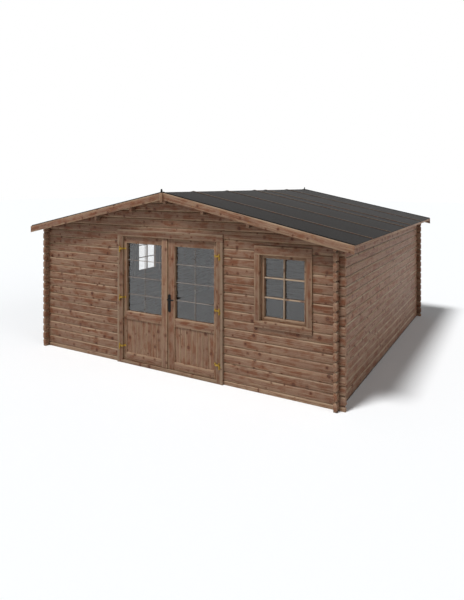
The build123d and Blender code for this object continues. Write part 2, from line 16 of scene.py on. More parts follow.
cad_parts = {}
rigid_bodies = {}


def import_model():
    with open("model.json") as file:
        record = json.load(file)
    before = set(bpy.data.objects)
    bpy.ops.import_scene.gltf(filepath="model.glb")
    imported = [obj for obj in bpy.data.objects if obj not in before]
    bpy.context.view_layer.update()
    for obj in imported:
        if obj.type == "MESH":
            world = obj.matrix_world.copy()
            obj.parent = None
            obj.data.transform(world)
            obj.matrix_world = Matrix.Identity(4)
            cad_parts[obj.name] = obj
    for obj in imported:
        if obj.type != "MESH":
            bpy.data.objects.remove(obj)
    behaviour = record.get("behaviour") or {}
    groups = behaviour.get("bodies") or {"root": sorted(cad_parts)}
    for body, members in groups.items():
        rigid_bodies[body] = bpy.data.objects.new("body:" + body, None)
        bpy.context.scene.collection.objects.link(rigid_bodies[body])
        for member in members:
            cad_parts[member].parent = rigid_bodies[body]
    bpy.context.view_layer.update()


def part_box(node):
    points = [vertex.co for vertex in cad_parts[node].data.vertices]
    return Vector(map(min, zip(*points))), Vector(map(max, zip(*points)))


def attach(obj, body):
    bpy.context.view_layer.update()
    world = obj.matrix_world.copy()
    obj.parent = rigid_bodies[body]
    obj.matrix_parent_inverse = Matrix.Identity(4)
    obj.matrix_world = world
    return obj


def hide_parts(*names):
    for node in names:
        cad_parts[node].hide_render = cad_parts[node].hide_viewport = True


LOG = logging.getLogger("cabin")
WELD = 0.00001
HEAVY_EASE = 0.003
BOARD_EASE = 0.002
METAL_EASE = 0.0005
FLAT_ANGLE = math.radians(0.5)
SHARP_ANGLE = math.radians(28)
SMOOTH_ANGLE = math.radians(32)
TO_FRONT = Vector((0, -1, 0))
TO_REAR = Vector((0, 1, 0))
UP = Vector((0, 0, 1))

Piece = bpy.types.Object
Socket = bpy.types.NodeSocket
Box = tuple[Vector, Vector]
Move = tuple[float, float, float]
Colour = tuple[float, float, float, float]


class Body(Enum):
    """The moving bodies of the cabin."""

    CABIN = "cabin"
    LEFT_DOOR = "left_door"
    RIGHT_DOOR = "right_door"
    LEVER = "door_lever"


class Slot(Enum):
    """The material slots of the record."""

    WALLS = "wall_logs"
    PURLINS = "purlins"
    ROOF_BOARDS = "roof_boards"
    TRIM = "roof_trim"
    BATTENS = "felt_battens"
    FLOOR = "floor"
    DOOR_FRAME = "door_frame_wood"
    DOOR_LEAF = "door_leaf_wood"
    WINDOW = "window_wood"
    FELT = "roofing_felt"
    CAP = "ridge_cap"
    GLASS = "glass"
    BRASS = "brass"
    HANDLE = "black_handle"


class Grain(Enum):
    """The point attributes that tell a wood finish how a board lies in its tree."""

    PLACE = "grain_place"
    HALF = "grain_half"
    ALONG = "grain_along"
    BOARD = "grain_board"


# --------------------------------------------------------------------------- bench


def clear_bench() -> None:
    """Deselects everything, so that the next operator meets only what it adds."""
    for other in bpy.context.view_layer.objects:
        other.select_set(False)


def pick_only(piece: Piece) -> None:
    """Makes a piece the only selected and the active object.

    Args:
        piece: The object to select.
    """
    clear_bench()
    bpy.context.view_layer.objects.active = piece
    piece.select_set(True)


def toward(axis: int, amount: float) -> Move:
    """Makes a move, or a direction, along one axis."""
    x, y, z = (amount if i == axis else 0.0 for i in range(3))
    return (x, y, z)


class Picker:
    """Selects parts of the mesh in edit mode by a test in code."""

    def __init__(self, piece: Piece) -> None:
        """Keeps the piece whose mesh is being edited."""
        self.piece = piece

    def faces(self, test: Callable[[bmesh.types.BMFace], bool]) -> int:
        """Selects the faces that pass a test, and counts them."""
        return self.parts("FACE", "faces", test)

    def edges(self, test: Callable[[bmesh.types.BMEdge], bool]) -> int:
        """Selects the edges that pass a test, and counts them."""
        return self.parts("EDGE", "edges", test)

    def corners(self, test: Callable[[Vector], bool]) -> int:
        """Selects the vertices whose places pass a test, and counts them."""
        return self.parts("VERT", "verts", lambda vertex: test(vertex.co))

    def parts(self, mode: str, kind: str, test: Callable[[object], bool]) -> int:
        """Selects the parts of one kind that pass a test, and no others.

        Args:
            mode: The select mode for them.
            kind: The mesh's list of them.
            test: Says whether a part is wanted.

        Returns:
            How many were selected.
        """
        bpy.ops.mesh.select_mode(type=mode)
        bpy.ops.mesh.select_all(action="DESELECT")
        mesh = bmesh.from_edit_mesh(self.piece.data)
        wanted = [part for part in getattr(mesh, kind) if test(part)]
        for part in wanted:
            part.select_set(True)
        bmesh.update_edit_mesh(self.piece.data)
        return len(wanted)


@contextmanager
def edit_mode(piece: Piece) -> Iterator[Picker]:
    """Opens a piece in edit mode with everything selected, and closes it again.

    Args:
        piece: The object to edit.

    Yields:
        A picker for its parts.
    """
    pick_only(piece)
    bpy.ops.object.mode_set(mode="EDIT")
    bpy.ops.mesh.select_all(action="SELECT")
    yield Picker(piece)
    bpy.ops.object.mode_set(mode="OBJECT")


def turn_outwards() -> None:
    """Turns all faces of the mesh in edit mode outwards."""
    bpy.ops.mesh.select_all(action="SELECT")
    bpy.ops.mesh.normals_make_consistent(inside=False)


def apply_modifier(piece: Piece, kind: str, **settings: object) -> None:
    """Adds a modifier to a piece and applies it.

    Args:
        piece: The object that gets it.
        kind: The modifier's type.
        **settings: Its settings by name.
    """
    pick_only(piece)
    modifier = piece.modifiers.new(kind.lower(), kind)
    for name, value in settings.items():
        setattr(modifier, name, value)
    bpy.ops.object.modifier_apply(modifier=modifier.name)


def primitive(name: str, add: Callable[..., object], **sizes: object) -> Piece:
    """Adds a primitive at the origin.

    Args:
        name: The name of the new piece.
        add: The operator that adds it.
        **sizes: Its sizes by name.

    Returns:
        The new piece.
    """
    clear_bench()
    add(**sizes)
    piece = bpy.context.active_object
    piece.name = name
    return piece


def block(name: str, low: Vector | Move, high: Vector | Move, ease: float) -> Piece:
    """Planes a squared timber to size and eases its arrises.

    Args:
        name: The name of the piece.
        low: Its lowest corner.
        high: Its highest corner.
        ease: Width of the eased arrises.

    Returns:
        The new piece.
    """
    low, high = Vector(low), Vector(high)
    piece = primitive(name, bpy.ops.mesh.primitive_cube_add, size=1.0)
    with edit_mode(piece):
        bpy.ops.transform.resize(value=tuple(high - low))
        bpy.ops.transform.translate(value=tuple((low + high) / 2))
        bpy.ops.mesh.bevel(offset=ease, segments=1)
    return piece


def copy_of(piece: Piece, name: str, place: Matrix | None = None) -> Piece:
    """Copies a piece with a mesh of its own.

    Args:
        piece: The piece to copy.
        name: The name of the copy.
        place: Where to set the copy, from the piece's own place.

    Returns:
        The copy, with its place in its mesh.
    """
    copy = bpy.data.objects.new(name, piece.data.copy())
    bpy.context.scene.collection.objects.link(copy)
    if place is not None:
        copy.data.transform(place)
    return copy


def joined(pieces: list[Piece], name: str) -> Piece:
    """Joins pieces into one object.

    Args:
        pieces: The pieces to join.
        name: The name of the whole.

    Returns:
        The joined object.
    """
    pick_only(pieces[0])
    for piece in pieces:
        piece.select_set(True)
    bpy.ops.object.join()
    whole = bpy.context.active_object
    whole.name = name
    return whole


def scatter(model: Piece, places: Iterable[Matrix], name: str) -> Piece:
    """Sets copies of a model at many places, joins them and removes the model.

    Args:
        model: The piece that repeats.
        places: One matrix for each copy.
        name: The name of the joined copies.

    Returns:
        The joined copies.
    """
    copies = [copy_of(model, f"{name}_part", place) for place in places]
    bpy.data.objects.remove(model)
    return joined(copies, name)


def cad_copy(node: str, name: str) -> Piece:
    """Copies a CAD node, merges its loose triangles and clears the edges inside flat faces.

    Args:
        node: The CAD node.
        name: The name of the copy.

    Returns:
        The copy, without a material.
    """
    piece = copy_of(bpy.data.objects[node], name)
    piece.data.materials.clear()
    with edit_mode(piece):
        bpy.ops.mesh.remove_doubles(threshold=WELD)
        bpy.ops.mesh.dissolve_limited(angle_limit=FLAT_ANGLE)
    return piece


def softened(name: str, node: str, ease: float) -> Piece:
    """Copies a CAD node and rounds its sharp edges.

    Args:
        name: The name of the new piece, which stands for the node.
        node: The node to copy.
        ease: Width of the rounded edges, or 0 to leave them.

    Returns:
        The new piece.
    """
    piece = cad_copy(node, name)
    if ease:
        apply_modifier(piece, "BEVEL", width=ease, segments=2, limit_method="ANGLE", angle_limit=SHARP_ANGLE)
    pick_only(piece)
    bpy.ops.object.shade_smooth_by_angle(angle=SMOOTH_ANGLE)
    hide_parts(node)
    return piece


def sawn(name: str, node: str, cuts: list[float], axis: int, shows: list[Vector], joint: float) -> Piece:
    """Saws boards with bevelled joints out of the slab that stands for them.

    Args:
        name: The name of the boards as one piece, which stands for the node.
        node: The slab's CAD node.
        cuts: The joints between the boards, from low to high.
        axis: The axis across the boards.
        shows: The directions of the faces that show bevelled joints.
        joint: Width of the bevel on each board.

    Returns:
        The boards.
    """

    def bevelled(edge: bmesh.types.BMEdge) -> bool:
        """Says whether an edge lies at a joint of a face that shows."""
        cut = any(abs(face.normal[axis]) > 0.99 for face in edge.link_faces)
        return cut and any(face.normal.dot(way) > 0.9 for face in edge.link_faces for way in shows)

    slab = cad_copy(node, f"{name}_slab")
    boards = []
    for low, high in zip([None, *cuts], [*cuts, None], strict=True):
        board = copy_of(slab, f"{name}_board")
        with edit_mode(board) as pick:
            for place, keep_high in ((low, True), (high, False)):
                if place is None:
                    continue
                bpy.ops.mesh.select_all(action="SELECT")
                bpy.ops.mesh.bisect(
                    plane_co=toward(axis, place),
                    plane_no=toward(axis, 1.0),
                    use_fill=True,
                    clear_inner=keep_high,
                    clear_outer=not keep_high,
                )
            turn_outwards()
            if pick.edges(bevelled):
                bpy.ops.mesh.bevel(offset=joint, segments=1)
        boards.append(board)
    bpy.data.objects.remove(slab)
    piece = joined(boards, name)
    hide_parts(node)
    return piece


def even_cuts(low: float, high: float, width: float) -> list[float]:
    """Places the joints between boards of one width.

    Args:
        low: Where the boards start.
        high: Where they end.
        width: The width wanted.

    Returns:
        The joints.
    """
    count = round((high - low) / width)
    return [low + (high - low) * i / count for i in range(1, count)]


def glazing_bars(
    name: str, pane: Box, across: int, rows: int, section: tuple[float, float], ease: float
) -> Piece:
    """Builds one upright bar in front of a pane, and bars across it between the rows.

    Args:
        name: The name of the bars as one piece.
        pane: The box of the pane.
        across: The axis along the wall, 0 or 1.
        rows: Rows of panes that the bars make.
        section: Width and depth of a bar.
        ease: Width of its eased arrises.

    Returns:
        The bars.
    """
    low, high = pane
    width, depth = section
    through = 1 - across
    middle, half = (low[across] + high[across]) / 2, width / 2

    def bar(start: float, end: float, bottom: float, top: float) -> Piece:
        """Makes one bar between two places along the wall and two heights.

        Args:
            start: Its low end along the wall.
            end: Its high end along the wall.
            bottom: Its foot.
            top: Its top.

        Returns:
            The bar.
        """
        near, far = Vector((0, 0, bottom)), Vector((0, 0, top))
        near[across], far[across] = start, end
        near[through], far[through] = low[through] - depth, low[through]
        return block("bar_part", near, far, ease)

    bars = [bar(middle - half, middle + half, low.z, high.z)]
    for i in range(1, rows):
        z = low.z + (high.z - low.z) * i / rows
        for start, end in ((low[across], middle - half), (middle + half, high[across])):
            bars.append(bar(start, end, z - half, z + half))
    return joined(bars, name)


def bead_ring(name: str, panes: list[Box], width: float, across: int) -> Piece:
    """Builds mitred beads of a three-cornered section round the low side of panes.

    Args:
        name: The name of the beads as one piece.
        panes: The boxes of the panes.
        width: Width and depth of a bead.
        across: The axis that runs across the panes, 0 or 1.

    Returns:
        The beads.
    """
    near = 0.0006
    through = 1 - across
    turn = (90, "X") if across == 0 else (-90, "Y")
    upright = Matrix.Rotation(math.radians(turn[0]), 4, turn[1])
    rings = []
    for low, high in panes:
        ring = primitive(f"{name}_part", bpy.ops.mesh.primitive_plane_add, size=1.0)
        size, centre = high - low, (low + high) / 2
        size[through], centre[through] = 1.0, low[through]
        ring.data.transform(upright)
        ring.data.transform(Matrix.Translation(centre) @ Matrix.Diagonal((*size, 1.0)))
        front = low[through] - width

        def slanted(
            edge: bmesh.types.BMEdge, centre: Vector = centre, size: Vector = size, front: float = front
        ) -> bool:
            """Says whether an edge is the inner arris of the bead's front.

            Args:
                edge: The edge.
                centre: The middle of the ring.
                size: Width and height of the ring.
                front: Where the bead's front lies.

            Returns:
                Whether it is.
            """
            ahead = abs(sum(vertex.co[through] for vertex in edge.verts) / 2 - front) < near
            return ahead and all(
                abs(abs(vertex.co[axis] - centre[axis]) - size[axis] / 2 + width) < near
                for vertex in edge.verts
                for axis in (across, 2)
            )

        with edit_mode(ring) as pick:
            bpy.ops.mesh.inset(thickness=width)
            bpy.ops.mesh.delete(type="FACE")
            bpy.ops.mesh.select_all(action="SELECT")
            bpy.ops.mesh.extrude_region_move(TRANSFORM_OT_translate={"value": toward(through, -width)})
            if pick.edges(slanted):
                bpy.ops.mesh.bevel(offset=width * 0.6, segments=2)
            turn_outwards()
        rings.append(ring)
    return joined(rings, name)


def screw_head(name: str, radius: float, crossed: bool) -> Piece:
    """Turns a round head that faces the front, at the origin.

    Args:
        name: The name of the model.
        radius: Radius of the head.
        crossed: Whether it has a driver's slot, as a screw has and a nail hasn't.

    Returns:
        The model.
    """
    sizes = {"vertices": 12, "radius": radius, "depth": radius * 0.7, "end_fill_type": "NGON"}
    head = primitive(name, bpy.ops.mesh.primitive_cylinder_add, **sizes)
    with edit_mode(head) as pick:
        pick.faces(lambda face: face.normal.z > 0.9)
        bpy.ops.mesh.inset(thickness=radius * 0.25)
        bpy.ops.transform.translate(value=toward(2, radius * 0.2))
        if crossed:
            bpy.ops.mesh.inset(thickness=radius * 0.3)
            bpy.ops.transform.resize(value=(1.0, 0.45, 1.0))
            bpy.ops.transform.translate(value=toward(2, -radius * 0.35))
    head.data.transform(Matrix.Rotation(math.radians(90), 4, "X"))
    return head


def islands(mesh: bmesh.types.BMesh) -> list[list[bmesh.types.BMVert]]:
    """Finds the separate boards of a mesh.

    Args:
        mesh: The mesh to search.

    Returns:
        The vertices of each board, in a fixed order.
    """
    seen: set[int] = set()
    found = []
    for start in mesh.verts:
        if start.index in seen:
            continue
        seen.add(start.index)
        board, queue = [], [start]
        while queue:
            vertex = queue.pop()
            board.append(vertex)
            for edge in vertex.link_edges:
                other = edge.other_vert(vertex)
                if other.index not in seen:
                    seen.add(other.index)
                    queue.append(other)
        found.append(board)
    return found


def solid_boxes(node: str) -> list[Box]:
    """Finds the box of each separate solid of a CAD node.

    Args:
        node: The node's name.

    Returns:
        The lowest and highest corner of each solid, from low X to high X.
    """
    mesh = bmesh.new()
    mesh.from_mesh(bpy.data.objects[node].data)
    bmesh.ops.remove_doubles(mesh, verts=mesh.verts, dist=WELD)
    mesh.verts.index_update()
    mesh.verts.ensure_lookup_table()
    boxes = []
    for vertices in islands(mesh):
        spans = [[vertex.co[i] for vertex in vertices] for i in range(3)]
        boxes.append((Vector([min(span) for span in spans]), Vector([max(span) for span in spans])))
    mesh.free()
    return sorted(boxes, key=lambda box: tuple(round(part, 4) for part in box[0]))


def outer_boxes(node: str) -> list[Box]:
    """Finds the solids of a node that lie on its front side, and leaves out those behind them."""
    low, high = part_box(node)
    return [box for box in solid_boxes(node) if box[0].y < (low.y + high.y) / 2]


def lay_grain(piece: Piece) -> None:
    """Writes how each board of a piece lies in its tree, for its wood finish.

    The grain runs along the board's longest edge, and its widest face gives the rest.

    Args:
        piece: A finished timber piece.
    """
    draw = random.Random(piece.name)
    mesh = bmesh.new()
    mesh.from_mesh(piece.data)
    mesh.verts.ensure_lookup_table()
    mesh.faces.ensure_lookup_table()
    count = len(mesh.verts)
    place, half, along = ([0.0] * (3 * count) for _ in range(3))
    board = [0.0] * count
    for vertices in islands(mesh):
        edges = {edge for vertex in vertices for edge in vertex.link_edges}
        faces = {face for vertex in vertices for face in vertex.link_faces}
        longest = max(edges, key=lambda edge: (round(edge.calc_length(), 5), -edge.index))
        u = (longest.verts[1].co - longest.verts[0].co).normalized()
        if max(u, key=abs) < 0:
            u = -u
        flat = [face for face in faces if abs(face.normal.dot(u)) < 0.2]
        widest = max(flat, key=lambda face: (round(face.calc_area(), 6), -face.index))
        w = (widest.normal - u * widest.normal.dot(u)).normalized()
        v = w.cross(u).normalized()
        spans = []
        for axis in (u, v, w):
            values = [vertex.co.dot(axis) for vertex in vertices]
            spans.append((min(values), max(values)))
        number = draw.random()
        for vertex in vertices:
            at = 3 * vertex.index
            board[vertex.index] = number
            for i, axis in enumerate((u, v, w)):
                low, high = spans[i]
                place[at + i] = vertex.co.dot(axis) - (low + high) / 2
                half[at + i] = (high - low) / 2
                along[at + i] = u[i]
    mesh.free()
    for kind, values in ((Grain.PLACE, place), (Grain.HALF, half), (Grain.ALONG, along)):
        piece.data.attributes.new(kind.value, "FLOAT_VECTOR", "POINT").data.foreach_set("vector", values)
    piece.data.attributes.new(Grain.BOARD.value, "FLOAT", "POINT").data.foreach_set("value", board)


# ------------------------------------------------------------------------ finishes


class Desk:
    """The node tree of a material or a world, with short calls to add and join its nodes."""

    def __init__(self, owner: bpy.types.Material | bpy.types.World) -> None:
        """Clears the owner's tree and gives it an output.

        Args:
            owner: The material or world whose tree is laid out.
        """
        self.owner = owner
        owner.use_nodes = True
        self.tree = owner.node_tree
        self.tree.nodes.clear()
        self.output = self.add("OutputWorld" if isinstance(owner, bpy.types.World) else "OutputMaterial")

    def add(self, kind: str, sockets: dict[str, object] | None = None, **settings: object) -> bpy.types.Node:
        """Adds a node.

        Args:
            kind: The node's type without its ShaderNode prefix.
            sockets: Values or output sockets for its inputs, by name or number.
            **settings: The node's own settings.

        Returns:
            The node.
        """
        node = self.tree.nodes.new("ShaderNode" + kind)
        for name, value in settings.items():
            setattr(node, name, value)
        for name, value in (sockets or {}).items():
            self.feed(node.inputs[name], value)
        return node

    def feed(self, socket: Socket, value: object) -> None:
        """Links an output to an input, or sets the input's value.

        Args:
            socket: The input.
            value: An output socket, or the value.
        """
        if isinstance(value, Socket):
            self.tree.links.new(value, socket)
        else:
            socket.default_value = value

    def read(self, kind: Grain, output: str = "Vector") -> Socket:
        """Reads one of the point attributes of the grain."""
        return self.add("Attribute", attribute_name=kind.value).outputs[output]

    def place(self) -> Socket:
        """Gives the place of the point on its piece."""
        return self.add("TexCoord").outputs["Object"]

    def math(self, operation: str, *values: object) -> Socket:
        """Works out one number from others."""
        return self.add("Math", dict(enumerate(values)), operation=operation).outputs[0]

    def times(self, first: object, second: object) -> Socket:
        """Multiplies two numbers."""
        return self.math("MULTIPLY", first, second)

    def fit(self, value: object, gain: object, start: object) -> Socket:
        """Multiplies a number by a gain and adds the start."""
        return self.math("MULTIPLY_ADD", value, gain, start)

    def minus(self, first: object, second: object) -> Socket:
        """Takes the second number from the first."""
        return self.math("SUBTRACT", first, second)

    def higher(self, first: object, second: object) -> Socket:
        """Takes the higher of two numbers."""
        return self.math("MAXIMUM", first, second)

    def vector(self, operation: str, *values: object) -> Socket:
        """Works out one vector, or the length or dot product of vectors.

        Args:
            operation: The Vector Math node's operation.
            *values: Its inputs.

        Returns:
            The result.
        """
        node = self.add("VectorMath", dict(enumerate(values)), operation=operation)
        return node.outputs["Value" if operation in ("LENGTH", "DOT_PRODUCT") else "Vector"]

    def apart(self, vector: Socket) -> list[Socket]:
        """Splits a vector into its three numbers."""
        return list(self.add("SeparateXYZ", {0: vector}).outputs)

    def together(self, x: object, y: object, z: object) -> Socket:
        """Makes a vector of three numbers."""
        return self.add("CombineXYZ", {0: x, 1: y, 2: z}).outputs[0]

    def stretched(self, parts: Iterable[object], waves: Move) -> Socket:
        """Makes a vector of three numbers, each times its own waves for each metre."""
        return self.together(*(self.times(part, wave) for part, wave in zip(parts, waves, strict=True)))

    def noise(self, vector: object, scale: float, detail: float = 3.0, roughness: float = 0.55) -> Socket:
        """Makes a noise from 0 to 1.

        Args:
            vector: Where it is read.
            scale: Waves for each metre.
            detail: Octaves.
            roughness: How strong the finer octaves are.

        Returns:
            The noise.
        """
        sockets = {"Vector": vector, "Scale": scale, "Detail": detail, "Roughness": roughness}
        return self.add("TexNoise", sockets).outputs[0]

    def chance(self, number: object, output: str = "Value") -> Socket:
        """Draws a random value, or a random colour, that belongs to a number."""
        return self.add("TexWhiteNoise", {"W": number}, noise_dimensions="1D").outputs[output]

    def step(
        self, value: object, low: float, high: float, to_low: float = 0.0, to_high: float = 1.0
    ) -> Socket:
        """Makes a smooth step between two values.

        Args:
            value: What is compared.
            low: Where the step starts.
            high: Where it ends.
            to_low: Result before the start.
            to_high: Result after the end.

        Returns:
            The step's height.
        """
        sockets = {0: value, 1: low, 2: high, 3: to_low, 4: to_high}
        return self.add("MapRange", sockets, interpolation_type="SMOOTHSTEP").outputs[0]

    def mix(self, share: object, first: object, second: object, blend: str = "MIX") -> Socket:
        """Mixes two colours.

        Args:
            share: How much of the second.
            first: The first colour.
            second: The second colour.
            blend: How they are mixed.

        Returns:
            The mixed colour.
        """
        node = self.add("Mix", data_type="RGBA", blend_type=blend)
        for number, value in ((0, share), (6, first), (7, second)):
            self.feed(node.inputs[number], value)
        return node.outputs[2]

    def shaded(self, colour: object, gain: Socket) -> Socket:
        """Makes a colour darker or lighter by a gain."""
        return self.mix(1.0, colour, self.together(gain, gain, gain), "MULTIPLY")

    def bump(self, height: object, distance: float, strength: float = 0.6) -> Socket:
        """Makes a bumped normal.

        Args:
            height: The height from 0 to 1.
            distance: What a height of 1 is in metres.
            strength: How strong the bump is.

        Returns:
            The normal.
        """
        return self.add("Bump", {"Height": height, "Distance": distance, "Strength": strength}).outputs[0]

    def seen(self) -> Socket:
        """Gives 1 to a ray of the camera, of a mirror image or through glass, and 0 to others.

        Returns:
            1 or 0.
        """
        rays = self.add("LightPath").outputs
        direct = self.higher(rays["Is Camera Ray"], rays["Is Glossy Ray"])
        return self.higher(direct, rays["Is Transmission Ray"])

    def surface(self, kind: str, sockets: dict[str, object]) -> bpy.types.Material | bpy.types.World:
        """Adds the last shader, joins it to the output and gives back the owner."""
        self.tree.links.new(self.add(kind, sockets).outputs[0], self.output.inputs[0])
        return self.owner

    def finish(self, **sockets: object) -> bpy.types.Material:
        """Ends a material with its shader.

        Args:
            **sockets: The shader's inputs, with _ for each space in a name.

        Returns:
            The material.
        """
        inputs = {name.replace("_", " "): value for name, value in sockets.items()}
        return self.surface("BsdfPrincipled", inputs)


def rgb(red: int, green: int, blue: int) -> Colour:
    """Makes a colour for a shader from its usual 0 to 255 numbers.

    Args:
        red: Red.
        green: Green.
        blue: Blue.

    Returns:
        The colour in linear light.
    """
    parts = (part / 255 for part in (red, green, blue))
    linear = [part / 12.92 if part <= 0.04045 else ((part + 0.055) / 1.055) ** 2.4 for part in parts]
    return (linear[0], linear[1], linear[2], 1.0)


class Board:
    """The sockets that say where a point lies on its own board, and on the cabin."""

    own_shift: Move = (41.0, 13.0, 7.0)

    def __init__(self, desk: Desk, walls: tuple[float, float]) -> None:
        """Reads the grain, and gives each board three chances and a pattern of its own.

        Args:
            desk: The desk of the material.
            walls: How far the walls' outer faces lie from the middle, along X and Y.
        """
        self.desk, self.walls = desk, walls
        place = desk.read(Grain.PLACE)
        lot = desk.chance(desk.read(Grain.BOARD, "Fac"), "Color")
        self.lot = desk.apart(lot)
        self.spot = desk.vector("ADD", place, desk.vector("MULTIPLY", lot, self.own_shift))
        self.x, self.y, self.z = desk.apart(self.spot)
        _, self.local_y, self.local_z = desk.apart(place)
        _, half_y, half_z = desk.apart(desk.read(Grain.HALF))
        self.girth = desk.higher(half_y, half_z)
        self.to_edge = desk.minus(half_y, desk.math("ABSOLUTE", self.local_y))
        self.to_face = desk.minus(half_z, desk.math("ABSOLUTE", self.local_z))
        normal = desk.add("TexCoord").outputs["Normal"]
        self.rise = desk.apart(normal)[2]
        self.facing = desk.math("ABSOLUTE", desk.vector("DOT_PRODUCT", normal, desk.read(Grain.ALONG)))
        self.from_middle = desk.apart(desk.vector("ABSOLUTE", desk.place()))


@dataclass(frozen=True)
class Knots:
    """What the knots do at a point of timber."""

    core: Socket
    halo: Socket
    rim: Socket
    swerve: Socket


@dataclass(frozen=True)
class StainedWood:
    """Brown stained spruce with streaks, rings, round knots and end grain, and painted highlights and shade.
    """

    name: str
    red: Colour = rgb(118, 70, 45)
    tan: Colour = rgb(141, 110, 90)
    pale: Colour = rgb(174, 149, 120)
    dark: Colour = rgb(92, 58, 40)
    knot: Colour = rgb(70, 31, 17)
    halo: Colour = rgb(114, 64, 36)
    rim: Colour = rgb(46, 27, 20)
    # The pale colour of the painted highlights.
    highlight_colour: Colour = rgb(192, 170, 146)
    tone: float = 1.0
    board_contrast: float = 0.14
    knot_step: float = 0.17
    knot_row: float = 0.1
    knot_chance: float = 0.62
    knot_radius: float = 0.015
    knot_wobble: float = 0.006
    ring: float = 0.0055
    pith_across: float = 0.08
    pith_through: float = 0.05
    pith_wander: float = 0.075
    pith_waves: Move = (0.55, 4.0, 1.0)
    streak_waves: Move = (2.0, 82.0, 82.0)
    fibre_waves: Move = (9.0, 320.0, 320.0)
    blotch_waves: Move = (6.0, 10.0, 10.0)
    knot_share: float = 0.78
    halo_share: float = 0.5
    rim_share: float = 0.5
    # Strength of the painted highlight on faces that look up.
    top_highlight: float = 0.3
    # Gain of the cut ends: below 1 the stain darkens them, above 1 they are lightened as painted light.
    end_stain_and_light: float = 0.9
    slim: tuple[float, float] = (0.0035, 0.0172)
    # How pale slim bars are painted, as a highlight.
    slim_highlight: float = 0.35
    # Gain of the timber indoors, which darkens it as painted shade.
    indoors: float = 0.4
    depth: float = 0.032
    # Strength of the painted shade in the joints of the crossed log ends.
    notch_shade: float = 0.0
    # How strongly the side walls get painted highlights and painted shade at their joints and foot.
    side_wall_light: float = 0.0

    def material(self, walls: tuple[float, float]) -> bpy.types.Material:
        """Builds the finish.

        Args:
            walls: How far the walls' outer faces lie from the middle, along X and Y.

        Returns:
            The material.
        """
        desk = Desk(bpy.data.materials.new(self.name))
        board = Board(desk, walls)
        knots = self.knots(board)
        bent_y = desk.minus(board.y, knots.swerve)
        late_wood = self.late_wood(board, bent_y, knots.swerve)
        bent = (board.x, bent_y, board.z)
        streaks = desk.noise(desk.stretched(bent, self.streak_waves), 1.0, 4.0, 0.62)
        fibres = desk.noise(desk.stretched(bent, self.fibre_waves), 1.0, 2.0)
        colour = self.stain(board, late_wood, streaks, fibres)
        outdoors = self.outdoors(board)
        wear_and_highlight, gain = self.tone_and_painted_light(board, outdoors)
        # Painted highlights mix the colour towards the pale highlight colour.
        colour = desk.mix(wear_and_highlight, colour, self.highlight_colour)

        # The cut ends show the rings. Their gain below 1 darkens them as end grain takes the stain, and
        # above 1 lightens them as painted light; towards their edges they get painted shade, as in the
        # notches of the joints.
        cut = desk.step(board.facing, 0.8, 0.95)
        end = desk.fit(late_wood, -0.3 * self.end_stain_and_light, self.end_stain_and_light)
        end = desk.times(end, desk.step(board.to_edge, 0.004, 0.016, 0.55, 1.0))
        end = desk.add("Mix", {0: cut, 2: 1.0, 3: end}, data_type="FLOAT").outputs[0]
        colour = desk.shaded(colour, desk.times(gain, end))

        # Knots last, with a dark rim.
        core = desk.times(knots.core, desk.minus(1.0, cut))
        colour = desk.mix(desk.times(knots.halo, self.halo_share), colour, self.halo)
        colour = desk.mix(desk.times(core, self.knot_share), colour, self.knot)
        colour = desk.mix(desk.times(knots.rim, self.rim_share), colour, self.rim)
        height = desk.fit(knots.core, 0.5, desk.fit(late_wood, 0.45, desk.times(fibres, 0.35)))
        return desk.finish(
            Base_Color=colour,
            Roughness=desk.fit(streaks, 0.24, 0.5),
            Specular_IOR_Level=desk.fit(outdoors, 0.26, 0.04),
            Normal=desk.bump(height, 0.0007),
        )

    def knots(self, board: Board) -> Knots:
        """Lays at most one knot in each cell of a board, as round as its true distance.

        Args:
            board: The point's board.

        Returns:
            The knots, and how far the grain swerves round them.
        """
        desk = board.desk
        cell = (self.knot_step, self.knot_row, 1.0)
        scaled = desk.vector("DIVIDE", desk.together(board.x, board.y, 0.0), cell)
        sockets = {"Vector": scaled, "Scale": 1.0, "Randomness": 0.85}
        cells = desk.add("TexVoronoi", sockets, voronoi_dimensions="2D").outputs
        away = desk.vector("MULTIPLY", desk.vector("SUBTRACT", scaled, cells["Position"]), cell)
        wobble = desk.fit(desk.noise(board.spot, 90.0, 2.0), self.knot_wobble, -self.knot_wobble / 2)
        distance = desk.math("ADD", desk.vector("LENGTH", away), wobble)
        luck, size, _ = desk.apart(cells["Color"])
        there = desk.math("LESS_THAN", luck, self.knot_chance)
        radius = desk.fit(desk.math("POWER", size, 2.0), self.knot_radius, self.knot_radius * 0.55)
        reach = desk.math("DIVIDE", distance, desk.higher(desk.times(radius, there), 0.0001))
        core = desk.step(reach, 1.12, 0.9)
        rim = desk.times(desk.step(reach, 0.6, 0.95), core)
        squared = desk.math("POWER", desk.higher(reach, 1.0), 2.0)
        swerve = desk.times(desk.math("DIVIDE", desk.apart(away)[1], squared), there)
        return Knots(core=core, halo=desk.step(reach, 2.6, 1.0), rim=rim, swerve=swerve)

    def late_wood(self, board: Board, bent_y: Socket, swerve: Socket) -> Socket:
        """Grows dark rings of late wood round a pith that wanders along the board.

        Args:
            board: The point's board.
            bent_y: The place across the grain as it flows round the knots.
            swerve: How far the grain is bent there.

        Returns:
            How much the point is late wood.
        """
        desk = board.desk
        slow = desk.stretched((board.x, bent_y, board.z), self.pith_waves)
        wander = desk.fit(desk.noise(slow, 1.6, 2.0), self.pith_wander, -self.pith_wander / 2)
        pith_y = desk.fit(board.lot[0], self.pith_across, -self.pith_across / 2)
        pith_z = desk.times(board.lot[1], self.pith_through)
        off_y = desk.minus(desk.minus(board.local_y, swerve), pith_y)
        off_z = desk.math("ADD", desk.minus(board.local_z, pith_z), wander)
        rings = desk.math("DIVIDE", desk.vector("LENGTH", desk.together(off_y, off_z, 0.0)), self.ring)
        share = desk.math("FRACT", rings)
        band = desk.times(desk.step(share, 0.35, 0.86), desk.step(share, 1.0, 0.93))
        return desk.times(band, desk.fit(desk.chance(desk.math("FLOOR", rings)), 0.7, 0.3))

